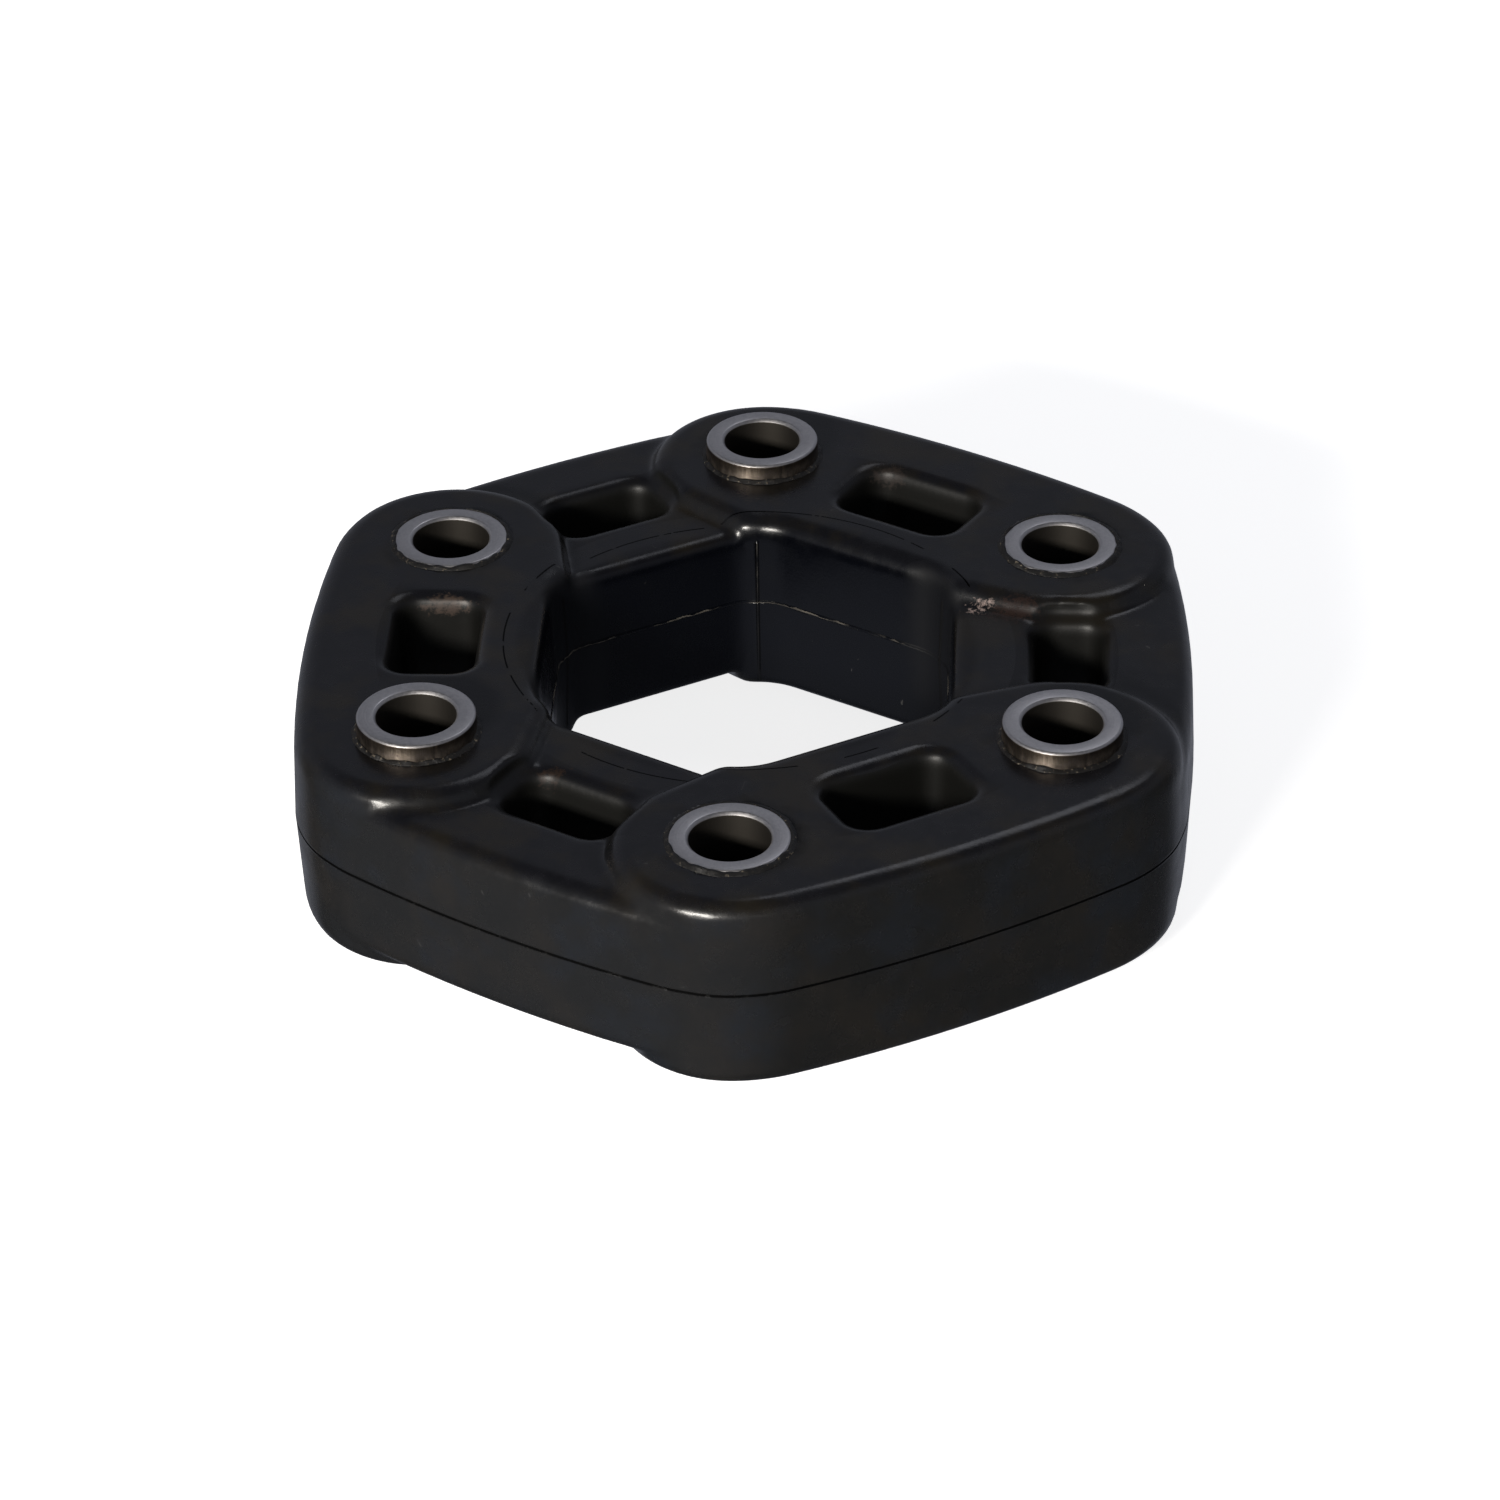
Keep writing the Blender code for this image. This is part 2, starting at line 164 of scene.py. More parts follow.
low_down = add_node(
    tree, "ShaderNodeMapRange",
    {"Value": height, "From Min": 0.10, "From Max": 0.50, "To Min": 1.0, "To Max": 0.0},
    interpolation_type="SMOOTHSTEP",
).outputs["Result"]
pale_wall = add_node(tree, "ShaderNodeMath", {0: front_left, 1: low_down}, operation="MULTIPLY").outputs[0]
studio_light = add_node(tree, "ShaderNodeMath", {0: room, 1: pale_wall}, operation="ADD")
tree.nodes["Background"].inputs["Color"].default_value = linear("#e9eeff")
tree.links.new(studio_light.outputs[0], tree.nodes["Background"].inputs["Strength"])
bpy.context.scene.world = world
SOFT_BOXES = [
    # name, azimuth, elevation, distance, width, height, watts, colour
    ("front_left_box", 244.0, 21.0, 0.90, 0.32, 0.10, 9.5, "#fffaf2"),
    ("front_strip", 268.0, 20.0, 1.00, 1.10, 0.12, 0.20, "#ffffff"),
    ("back_box", 66.0, 56.0, 1.00, 0.40, 0.24, 0.55, "#f2f5ff"),
]
for name, box_azimuth, box_elevation, distance, width, height, watts, colour in SOFT_BOXES:
    data = bpy.data.lights.new(name, "AREA")
    data.shape = "RECTANGLE"
    data.size, data.size_y = width, height
    data.energy = watts
    data.color = linear(colour)[:3]
    soft_box = bpy.data.objects.new(name, data)
    turn, rise = math.radians(box_azimuth), math.radians(box_elevation)
    aim = Vector((math.cos(turn) * math.cos(rise), math.sin(turn) * math.cos(rise), math.sin(rise)))
    facing_disc = aim.to_track_quat("Z", "Y").to_matrix().to_4x4()
    soft_box.matrix_world = Matrix.Translation(aim * distance) @ facing_disc
    bpy.context.scene.collection.objects.link(soft_box)


# Rubber body: natural rubber, compression moulded in one piece round the sleeves and cords. Its
# walls draw from a parting plane a little above the middle, and where the thick pads stand on the
# thinner webs the mould gives a soft hollow corner.
PAD_HALF_HEIGHT = 0.01375
WEB_HALF_HEIGHT = 0.01145
PARTING_HEIGHT = 0.0010
WALL_OUTSIDE_SLEEVE = 0.0158    # from a sleeve's axis out to the wall
SIDE_BOW = 0.00122              # how far a side bulges between two corners
RAIL_INSIDE_CHORD = 0.0149      # from the line between two sleeves' axes in to the hole's wall
OUTER_CORNER_RADIUS = 0.0216
HOLE_CORNER_RADIUS = 0.0084
PAD_INNER_CORNER_RADIUS = 0.0040
PAD_INNER_CORNER_LEAN = math.radians(4)
PAD_STAND_OUT = 0.0002          # how far the pads' walls stand proud of the webs'
DRAFT = math.tan(math.radians(2.5))
EDGE_RADIUS = 0.0026
WEB_HOLE_EDGE_RADIUS = 0.0018
WINDOW_CORNER_RADIUS = 0.0025
WINDOW_EDGE_RADIUS = 0.0019
PAD_WINDOW = (0.0168, 0.0104, 0.0)     # length, width and offset outward
WEB_WINDOW = (0.0152, 0.0084, 0.0011)
SLEEVE_RADIUS = 0.0078
OVERRUN = 0.0030                # how far a cutting shape runs on past the face it cuts
SAME_POINT = 0.00001
EDGE_STEPS = 6
RUBBER_VOXEL = 0.00055
RUBBER_TRIANGLES = 185000
SOFTENING_PASSES = 3
PAD_FOOT_REACH = 0.0018         # how far the hollow corner at a pad's foot spreads
PAD_FOOT_PASSES = 7

half_link = math.pi / 6
pad_angles = [math.radians(angle) for angle in (180, 300, 60)]
sleeve_angles = [math.radians(angle) for angle in (-30, 30, 90, 150, 210, 270)]
chord_distance = BOLT_CIRCLE_RADIUS * math.cos(half_link)
reach_at_sleeve = BOLT_CIRCLE_RADIUS + WALL_OUTSIDE_SLEEVE
corner_distance = reach_at_sleeve - OUTER_CORNER_RADIUS
reach_at_link = corner_distance * math.cos(half_link) + OUTER_CORNER_RADIUS + SIDE_BOW
hole_apothem = chord_distance - RAIL_INSIDE_CHORD
hole_corner_distance = (hole_apothem - HOLE_CORNER_RADIUS) / math.cos(half_link)
side_radius = corner_distance ** 2 + reach_at_link ** 2 - OUTER_CORNER_RADIUS ** 2
side_radius -= 2.0 * corner_distance * reach_at_link * math.cos(half_link)
side_radius /= 2.0 * (reach_at_link - corner_distance * math.cos(half_link) - OUTER_CORNER_RADIUS)
corner_turn = math.atan2(
    (side_radius - reach_at_link) * math.sin(half_link),
    corner_distance + (side_radius - reach_at_link) * math.cos(half_link),
)


def polar(distance, angle):
    return Vector((distance * math.cos(angle), distance * math.sin(angle), 0.0))


def draw_outline(shape, arcs):
    """Draws a closed line by spinning its last vertex on round each arc, and fills it. An arc is a
    centre, a radius, the angles where it starts and ends, and a number of steps."""
    tip = None
    for centre, radius, start, end, steps in arcs:
        place = centre + polar(radius, start)
        if tip is None:
            tip = shape.verts.new(place)
        elif (tip.co - place).length > SAME_POINT:
            tip = bmesh.ops.extrude_vert_indiv(shape, verts=[tip])["verts"][0]
            tip.co = place
        spun = bmesh.ops.spin(
            shape, geom=[tip], cent=centre, axis=(0, 0, 1), angle=end - start, steps=steps,
            use_duplicate=False,
        )
        tip = [part for part in spun["geom_last"] if isinstance(part, bmesh.types.BMVert)][-1]
    bmesh.ops.remove_doubles(shape, verts=shape.verts[:], dist=SAME_POINT)
    ends = [vert for vert in shape.verts if len(vert.link_edges) == 1]
    if ends:
        shape.edges.new(ends)
    return bmesh.ops.contextual_create(shape, geom=shape.edges[:])["faces"]


def draw_out(arcs, stations):
    """Draws an outline out from the parting plane, upwards and downwards. Each station is a height
    over the plane and an inset of the outline, which widens it where it is negative."""
    shape = bmesh.new()
    cap = draw_outline(shape, arcs)[0]
    for side in (1, -1):
        if side < 0:
            open_edges = [edge for edge in shape.edges if len(edge.link_faces) == 1]
            cap = bmesh.ops.contextual_create(shape, geom=open_edges)["faces"][0]
        cap.normal_update()
        if cap.normal.z * side < 0.0:
            cap.normal_flip()
        last_rise, last_inset = 0.0, 0.0
        for rise, inset in stations[side]:
            bmesh.ops.inset_region(
                shape, faces=[cap], use_boundary=True, use_even_offset=True,
                thickness=inset - last_inset, depth=rise - last_rise,
            )
            last_rise, last_inset = rise, inset
    bmesh.ops.translate(shape, verts=shape.verts, vec=(0, 0, PARTING_HEIGHT))
    bmesh.ops.recalc_face_normals(shape, faces=shape.faces[:])
    return shape


def moulded_stations(half_height, edge_radius, narrowing):
    """Drafted walls and quarter-round edges. With narrowing 1 a solid gets narrower towards its
    faces, and with -1 an opening gets wider and runs on past them."""
    stations = {}
    for side in (1, -1):
        wall = half_height - side * PARTING_HEIGHT - edge_radius
        stations[side] = [(wall, narrowing * wall * DRAFT)]
        for step in range(1, EDGE_STEPS + 1):
            turn = 0.5 * math.pi * step / EDGE_STEPS
            inset = wall * DRAFT + edge_radius * (1.0 - math.cos(turn))
            stations[side].append((wall + edge_radius * math.sin(turn), narrowing * inset))
        if narrowing < 0:
            stations[side].append((wall + edge_radius + OVERRUN, narrowing * inset))
    return stations


def repeat_round(shape, count):
    """Copies a shape round the shaft's axis."""
    everything = shape.verts[:] + shape.edges[:] + shape.faces[:]
    bmesh.ops.spin(
        shape, geom=everything, cent=(0, 0, 0), axis=(0, 0, 1),
        angle=2.0 * math.pi * (count - 1) / count, steps=count - 1, use_duplicate=True,
    )


def combine(target, tool, operation):
    step = target.modifiers.new(operation.lower(), "BOOLEAN")
    step.operation = operation
    step.solver = "EXACT"
    step.object = tool
    apply_modifiers(target)
    bpy.data.objects.remove(tool)


def apply_modifiers(piece):
    graph = bpy.context.evaluated_depsgraph_get()
    result = bpy.data.meshes.new_from_object(piece.evaluated_get(graph))
    piece.modifiers.clear()
    piece.data = result


def window_arcs(length, width, offset):
    """A window with rounded corners in the link that points along +X."""
    arcs = []
    for side_x, side_y, quarter in ((1, 1, 0), (-1, 1, 1), (-1, -1, 2), (1, -1, 3)):
        centre = Vector((
            chord_distance + offset + side_x * (0.5 * width - WINDOW_CORNER_RADIUS),
            side_y * (0.5 * length - WINDOW_CORNER_RADIUS),
            0.0,
        ))
        start = 0.5 * math.pi * quarter
        arcs.append((centre, WINDOW_CORNER_RADIUS, start, start + 0.5 * math.pi, 6))
    return arcs


ring_arcs, hole_arcs = [], []
for angle in sleeve_angles:
    corner_centre = polar(corner_distance, angle)
    side_centre = polar(reach_at_link - side_radius, angle + half_link)
    ring_arcs += [
        (corner_centre, OUTER_CORNER_RADIUS, angle - corner_turn, angle + corner_turn, 16),
        (side_centre, side_radius, angle + corner_turn, angle + 2 * half_link - corner_turn, 10),
    ]
    hole_corner = polar(hole_corner_distance, angle)
    hole_arcs.append((hole_corner, HOLE_CORNER_RADIUS, angle - half_link, angle + half_link, 14))

# One pad, pointing along +X: half of it from the outer wall round its sleeve to the hole's wall,
# and the same mirrored.
meet = half_link + PAD_INNER_CORNER_LEAN
pad_sleeve = polar(BOLT_CIRCLE_RADIUS, half_link)
hole_corner = polar(hole_corner_distance, half_link)
inner_corner = hole_corner + polar(HOLE_CORNER_RADIUS + PAD_INNER_CORNER_RADIUS, meet)
between = inner_corner - pad_sleeve
leave = math.atan2(between.y, between.x) % (2.0 * math.pi)
leave -= math.acos((WALL_OUTSIDE_SLEEVE - PAD_INNER_CORNER_RADIUS) / between.length)
side_turn = half_link - corner_turn
half_pad = [
    (Vector((reach_at_link - side_radius, 0, 0)), side_radius, 0.0, side_turn, 6),
    (polar(corner_distance, half_link), OUTER_CORNER_RADIUS, side_turn, half_link, 8),
    (pad_sleeve, WALL_OUTSIDE_SLEEVE, half_link, leave, 30),
    (inner_corner, PAD_INNER_CORNER_RADIUS, leave, meet + math.pi, 10),
    (hole_corner, HOLE_CORNER_RADIUS, meet, 0.0, 8),
]
mirrored_pad = [
    (Vector((centre.x, -centre.y, 0)), radius, -end, -start, steps)
    for centre, radius, start, end, steps in reversed(half_pad)
]
pad_arcs = [
    (centre, radius + (PAD_STAND_OUT if end > start else -PAD_STAND_OUT), start, end, steps)
    for centre, radius, start, end, steps in half_pad + mirrored_pad
]

ring = draw_out(ring_arcs, moulded_stations(WEB_HALF_HEIGHT, EDGE_RADIUS, 1))
rubber = finished_mesh("rubber_moulding", ring)
hole = draw_out(hole_arcs, moulded_stations(WEB_HALF_HEIGHT, WEB_HOLE_EDGE_RADIUS, -1))
combine(rubber, finished_mesh("hole", hole), "DIFFERENCE")
pads = draw_out(pad_arcs, moulded_stations(PAD_HALF_HEIGHT, EDGE_RADIUS, 1))
bmesh.ops.rotate(pads, verts=pads.verts, cent=(0, 0, 0), matrix=Matrix.Rotation(math.pi, 3, "Z"))
repeat_round(pads, 3)
combine(rubber, finished_mesh("pads", pads), "UNION")
for (length, width, offset), half_height, first in (
    (PAD_WINDOW, PAD_HALF_HEIGHT, math.pi), (WEB_WINDOW, WEB_HALF_HEIGHT, 0.0),
):
    stations = moulded_stations(half_height, WINDOW_EDGE_RADIUS, -1)
    windows = draw_out(window_arcs(length, width, offset), stations)
    to_first_link = Matrix.Rotation(first, 3, "Z")
    bmesh.ops.rotate(windows, verts=windows.verts, cent=(0, 0, 0), matrix=to_first_link)
    repeat_round(windows, 3)
    combine(rubber, finished_mesh("windows", windows), "DIFFERENCE")
bores = bmesh.new()
bmesh.ops.create_cone(
    bores, cap_ends=True, segments=64, radius1=SLEEVE_RADIUS, radius2=SLEEVE_RADIUS,
    depth=2 * (PAD_HALF_HEIGHT + OVERRUN),
    matrix=Matrix.Translation(polar(BOLT_CIRCLE_RADIUS, half_link)),
)
repeat_round(bores, 6)
combine(rubber, finished_mesh("bores", bores), "DIFFERENCE")

remesh = rubber.modifiers.new("voxels", "REMESH")
remesh.mode = "VOXEL"
remesh.voxel_size = RUBBER_VOXEL
soften = rubber.modifiers.new("soften", "SMOOTH")
soften.factor = 0.5
soften.iterations = SOFTENING_PASSES
apply_modifiers(rubber)

# The hollow corner at each pad's foot, upper and lower: the mesh is relaxed near that line only.
foot_line = bmesh.new()
draw_outline(foot_line, pad_arcs)
foot_points = [vert.co.copy() for vert in foot_line.verts]
foot_line.free()
foot_tree = kdtree.KDTree(len(foot_points) * 3)
for angle in pad_angles:
    for point in foot_points:
        foot_tree.insert(Matrix.Rotation(angle, 3, "Z") @ point, 0)
foot_tree.balance()
foot = rubber.vertex_groups.new(name="pad_foot")
for vert in rubber.data.vertices:
    rise = abs(vert.co.z) - WEB_HALF_HEIGHT
    if abs(rise) < PAD_FOOT_REACH:
        flat = Vector((vert.co.x, vert.co.y, 0.0))
        near = math.hypot(foot_tree.find(flat)[2], rise) / PAD_FOOT_REACH
        if near < 1.0:
            foot.add([vert.index], 1.0 - near * near, "REPLACE")
relax = rubber.modifiers.new("pad_foot", "SMOOTH")
relax.factor = 0.5
relax.iterations = PAD_FOOT_PASSES
relax.vertex_group = "pad_foot"
thin = rubber.modifiers.new("thin", "DECIMATE")
thin.ratio = min(1.0, RUBBER_TRIANGLES / (2.0 * len(rubber.data.polygons)))
apply_modifiers(rubber)
rubber.vertex_groups.clear()

# The mould's marks: a fine groove with slight lips where its two halves met, all round the outer
# wall and the windows, a low ridge of flash along the same line in the hole, and an upright one in
# each of the hole's corners, which is strong at the back only. Cuts in the mesh give them edges.
PARTING_CUTS = (
    # height over the parting plane, push of the outer walls, push of the hole's wall
    (-0.00040, 0.0, 0.0), (-0.00017, 0.00002, -0.00003), (0.0, -0.00042, 0.00016),
    (0.00017, 0.00001, -0.00003), (0.00040, 0.0, 0.0),
)
PARTING_NEAR = 0.003            # only faces this close to the line are cut
PARTING_WANDER = 0.6            # the share by which the groove's depth wanders
PARTING_WAVES = 160.0           # a metre: they are 6 mm long
FLASH_CUTS = (
    # shift off the corner, push out of the wall
    (-0.00020, 0.0), (0.0, 0.00034), (0.00020, 0.0),
)
FLASH_NEAR = 0.002
FLASH_WANDER = 0.5
FLASH_WAVES = 300.0             # a metre: they are 3 mm long
FLASH_SHARE = 0.25              # of the back corner's flash, in the other corners
FLASH_OFF_EDGE = 0.001          # it ends this far from the webs' faces
HOLE_REACH = 0.0310
HOLE_FADE = 0.0010              # inside that reach, the width over which the hole's skin fades out
CUT_TOLERANCE = 0.000001
marked = bmesh.new()
marked.from_mesh(rubber.data)
for rise, _, _ in PARTING_CUTS:
    plane = PARTING_HEIGHT + rise
    near = [face for face in marked.faces if abs(face.verts[0].co.z - plane) < PARTING_NEAR]
    edges = {edge for face in near for edge in face.edges}
    verts = {vert for face in near for vert in face.verts}
    bmesh.ops.bisect_plane(
        marked, geom=[*near, *edges, *verts], dist=CUT_TOLERANCE,
        plane_co=(0, 0, plane), plane_no=(0, 0, 1),
    )
marked.normal_update()
for rise, outer_push, hole_push in PARTING_CUTS:
    for vert in marked.verts:
        if abs(vert.co.z - PARTING_HEIGHT - rise) < 2 * CUT_TOLERANCE:
            wander = 1.0 + PARTING_WANDER * noise.noise(vert.co * PARTING_WAVES)
            push = hole_push if vert.co.xy.length < HOLE_REACH else outer_push
            vert.co += vert.normal * (push * wander)
for angle in sleeve_angles:
    along, across = polar(1.0, angle), polar(1.0, angle + 0.5 * math.pi)
    share = 1.0 if along.y > 0.9 else FLASH_SHARE
    for shift, push in FLASH_CUTS:
        near = [
            face for face in marked.faces
            if abs(face.verts[0].co.dot(across)) < FLASH_NEAR
            and 0.0 < face.verts[0].co.dot(along) < HOLE_REACH
        ]
        edges = {edge for face in near for edge in face.edges}
        verts = {vert for face in near for vert in face.verts}
        cut_parts = bmesh.ops.bisect_plane(
            marked, geom=[*near, *edges, *verts], dist=CUT_TOLERANCE,
            plane_co=across * shift, plane_no=across,
        )["geom_cut"]
        if push == 0.0:
            continue
        for part in cut_parts:
            if isinstance(part, bmesh.types.BMVert) and abs(part.co.z) < WEB_HALF_HEIGHT - FLASH_OFF_EDGE:
                wander = 1.0 + FLASH_WANDER * noise.noise(part.co * FLASH_WAVES)
                part.co -= along * push * share * wander
bmesh.ops.triangulate(marked, faces=[face for face in marked.faces if len(face.verts) > 4])
marked.to_mesh(rubber.data)
marked.free()
rubber.data.shade_smooth()

# Moulded rubber straight from a worn mould: near black and satin, with a bluish bloom on the faces,
# a brownish film in patches, and painted shade that makes the walls blacker inside the hole and
# windows. A scale is how many patches or grains fit in a metre, from the width of one of them.
FILM_SCALE = 75.0           # patches of film, 13 mm
BLOOM_SCALE = 110.0         # patches of bluish bloom, 9 mm
BLOTCH_SCALE = 330.0        # blotches of more and less gloss, 3 mm
GRAIN_SCALE = 2200.0        # grain of the mould, 0.45 mm, coarser than the real one so that it shows
TORN_SCALE = 420.0          # ragged edges of flash and dirt, 2.4 mm
rubber_black, tree, shader = new_material("natural_rubber_moulded")
place = add_node(tree, "ShaderNodeTexCoord").outputs["Object"]
axes = add_node(tree, "ShaderNodeSeparateXYZ", {0: place})
flat = add_node(tree, "ShaderNodeCombineXYZ", {0: axes.outputs[0], 1: axes.outputs[1]})
reach = add_node(tree, "ShaderNodeVectorMath", {0: flat.outputs[0]}, operation="LENGTH").outputs["Value"]
normal = add_node(tree, "ShaderNodeNewGeometry").outputs["Normal"]
facing = add_node(tree, "ShaderNodeSeparateXYZ", {0: normal})
# 1 on the level faces and 0 on the walls.
level = add_node(tree, "ShaderNodeMath", {0: facing.outputs["Z"]}, operation="ABSOLUTE").outputs[0]
level = add_node(
    tree, "ShaderNodeMapRange", {"Value": level, "From Min": 0.35, "From Max": 0.95}
).outputs["Result"]
cloud = add_node(
    tree, "ShaderNodeTexNoise", {"Vector": place, "Scale": FILM_SCALE, "Detail": 5.0, "Roughness": 0.6}
)
cloud_cool = add_node(
    tree, "ShaderNodeTexNoise",
    {"Vector": place, "Scale": BLOOM_SCALE, "Detail": 4.0, "Roughness": 0.6, "W": 3.0},
    noise_dimensions="4D",
)
blotch = add_node(
    tree, "ShaderNodeTexNoise", {"Vector": place, "Scale": BLOTCH_SCALE, "Detail": 4.0, "Roughness": 0.6}
)
grain = add_node(
    tree, "ShaderNodeTexNoise", {"Vector": place, "Scale": GRAIN_SCALE, "Detail": 3.0, "Roughness": 0.6}
)
film = add_node(
    tree, "ShaderNodeMapRange", {"Value": cloud.outputs[0], "From Min": 0.44, "From Max": 0.64}
).outputs["Result"]
cool = add_node(
    tree, "ShaderNodeMapRange", {"Value": cloud_cool.outputs[0], "From Min": 0.50, "From Max": 0.66}
).outputs["Result"]
# The turn, in radians, off the nearest line from the shaft's axis through a sleeve. The hole's
# corners are on these lines, and the windows lie between them in one ring.
WINDOW_RING, WINDOW_RING_HALF_WIDTH = 0.0424, 0.0068
WINDOW_ENDS = (0.25, 0.30)
turned = add_node(
    tree, "ShaderNodeMath", {0: axes.outputs[1], 1: axes.outputs[0]}, operation="ARCTAN2"
).outputs[0]
turned = add_node(tree, "ShaderNodeMath", {0: turned, 1: math.pi}, operation="ADD").outputs[0]
turned = add_node(tree, "ShaderNodeMath", {0: turned, 1: math.pi / 3}, operation="MODULO").outputs[0]
off_corner = add_node(tree, "ShaderNodeMath", {0: turned, 1: math.pi / 6}, operation="SUBTRACT").outputs[0]
off_corner = add_node(tree, "ShaderNodeMath", {0: off_corner}, operation="ABSOLUTE").outputs[0]
along_link = add_node(
    tree, "ShaderNodeMapRange",
    {"Value": off_corner, "From Min": WINDOW_ENDS[0], "From Max": WINDOW_ENDS[1]},
).outputs["Result"]
across_link = add_node(
    tree, "ShaderNodeMath", {0: reach, 1: WINDOW_RING, 2: WINDOW_RING_HALF_WIDTH}, operation="COMPARE"
).outputs[0]
window_band = add_node(tree, "ShaderNodeMath", {0: along_link, 1: across_link}, operation="MULTIPLY").outputs[0]
in_hole = add_node(
    tree, "ShaderNodeMapRange",
    {
        "Value": reach, "From Min": HOLE_REACH - HOLE_FADE, "From Max": HOLE_REACH,
        "To Min": 1.0, "To Max": 0.0,
    },
).outputs["Result"]
# Painted shade: the walls in the windows are painted darker, and those in the hole darkest.
wall_colour = linear("#121211")
for share, tint in ((film, "#181613"), (cool, "#131518"), (window_band, "#0c0c0a"), (in_hole, "#040509")):
    wall_colour = add_node(
        tree, "ShaderNodeMix", {0: share, 6: wall_colour, 7: linear(tint)}, data_type="RGBA"
    ).outputs[2]
handled = add_node(
    tree, "ShaderNodeMapRange", {"Value": cloud.outputs[0], "From Min": 0.47, "From Max": 0.62}
).outputs["Result"]
face_colour = linear("#0e0f12")
for share, tint in ((blotch.outputs[0], "#17171b"), (handled, "#1e1b16")):
    face_colour = add_node(
        tree, "ShaderNodeMix", {0: share, 6: face_colour, 7: linear(tint)}, data_type="RGBA"
    ).outputs[2]
colour = add_node(
    tree, "ShaderNodeMix", {0: level, 6: wall_colour, 7: face_colour}, data_type="RGBA"
).outputs[2]
# The seam of the mould's ring insert: a hair line round the shaft's axis, broken in places, on the
# pads and on the webs at the left.
INSERT_SEAM_RADIUS = 0.0323
INSERT_SEAM_HALF_WIDTH = 0.00011
ON_PADS = 0.0134            # a height that only the pads' faces reach
broken = add_node(
    tree, "ShaderNodeMath", {0: cloud_cool.outputs[0], 1: 0.48}, operation="GREATER_THAN"
).outputs[0]
insert_seam = add_node(
    tree, "ShaderNodeMath", {0: reach, 1: INSERT_SEAM_RADIUS, 2: INSERT_SEAM_HALF_WIDTH}, operation="COMPARE"
).outputs[0]
on_pad = add_node(
    tree, "ShaderNodeMath", {0: axes.outputs[2], 1: ON_PADS}, operation="GREATER_THAN"
).outputs[0]
on_left = add_node(tree, "ShaderNodeMath", {0: axes.outputs[0], 1: 0.0}, operation="LESS_THAN").outputs[0]
seam_kept = add_node(tree, "ShaderNodeMath", {0: on_pad, 1: on_left}, operation="MAXIMUM").outputs[0]
for share in (broken, level, seam_kept):
    insert_seam = add_node(
        tree, "ShaderNodeMath", {0: insert_seam, 1: share}, operation="MULTIPLY"
    ).outputs[0]
colour = add_node(
    tree, "ShaderNodeMix", {0: insert_seam, 6: colour, 7: linear("#020202")}, data_type="RGBA"
).outputs[2]
# Outside the hole the parting line's groove is darkened with painted shade. In the hole its torn
# flash, like the upright one in the corner at the back, gets a pale silvery painted highlight in
# places, brightest high up, and the hole's corners are darkened with painted shade.
GROOVE_SHADE_HALF_WIDTH = 0.00018
PALE_LINE_HALF_WIDTH = 0.00008
PALE_LINE_WANDER = 0.0009
BACK_CORNER = 0.020         # only the hole's back corner lies further back than this
UPRIGHT_LINE_TURN = 0.0024
CORNER_SHADE_TURN = 0.0110
HOLE_EDGE = 0.0012          # the lines end this far below the webs' upper faces
torn = add_node(
    tree, "ShaderNodeTexNoise", {"Vector": place, "Scale": TORN_SCALE, "Detail": 3.0, "Roughness": 0.6}
)
line_height = add_node(
    tree, "ShaderNodeMath", {0: axes.outputs[2], 1: PARTING_HEIGHT, 2: GROOVE_SHADE_HALF_WIDTH},
    operation="COMPARE",
).outputs[0]
outside = add_node(tree, "ShaderNodeMath", {0: 1.0, 1: in_hole}, operation="SUBTRACT").outputs[0]
groove_shade = add_node(tree, "ShaderNodeMath", {0: line_height, 1: outside}, operation="MULTIPLY").outputs[0]
wandering = add_node(
    tree, "ShaderNodeMath", {0: torn.outputs[0], 1: PALE_LINE_WANDER, 2: axes.outputs[2]},
    operation="MULTIPLY_ADD",
).outputs[0]
wandering = add_node(
    tree, "ShaderNodeMath",
    {0: wandering, 1: PARTING_HEIGHT + 0.5 * PALE_LINE_WANDER, 2: PALE_LINE_HALF_WIDTH}, operation="COMPARE",
).outputs[0]
at_back = add_node(
    tree, "ShaderNodeMath", {0: axes.outputs[1], 1: BACK_CORNER}, operation="GREATER_THAN"
).outputs[0]
corner_line = add_node(
    tree, "ShaderNodeMath", {0: off_corner, 1: UPRIGHT_LINE_TURN}, operation="LESS_THAN"
).outputs[0]
high_up = add_node(
    tree, "ShaderNodeMapRange",
    {"Value": axes.outputs[2], "From Min": 0.002, "From Max": 0.0095, "To Min": 0.05, "To Max": 1.0},
).outputs["Result"]
below_edge = add_node(
    tree, "ShaderNodeMath", {0: axes.outputs[2], 1: WEB_HALF_HEIGHT - HOLE_EDGE}, operation="LESS_THAN"
).outputs[0]
for share in (at_back, high_up, below_edge):
    corner_line = add_node(
        tree, "ShaderNodeMath", {0: corner_line, 1: share}, operation="MULTIPLY"
    ).outputs[0]
corner_shade = add_node(
    tree, "ShaderNodeMath", {0: off_corner, 1: CORNER_SHADE_TURN}, operation="LESS_THAN"
).outputs[0]
for share in (in_hole, below_edge):
    corner_shade = add_node(
        tree, "ShaderNodeMath", {0: corner_shade, 1: share}, operation="MULTIPLY"
    ).outputs[0]
highlight_patches = add_node(
    tree, "ShaderNodeMapRange", {"Value": cloud_cool.outputs[0], "From Min": 0.46, "From Max": 0.62}
).outputs["Result"]
flash_highlight = add_node(
    tree, "ShaderNodeMath", {0: wandering, 1: corner_line}, operation="MAXIMUM"
).outputs[0]
for share in (in_hole, highlight_patches):
    flash_highlight = add_node(
        tree, "ShaderNodeMath", {0: flash_highlight, 1: share}, operation="MULTIPLY"
    ).outputs[0]
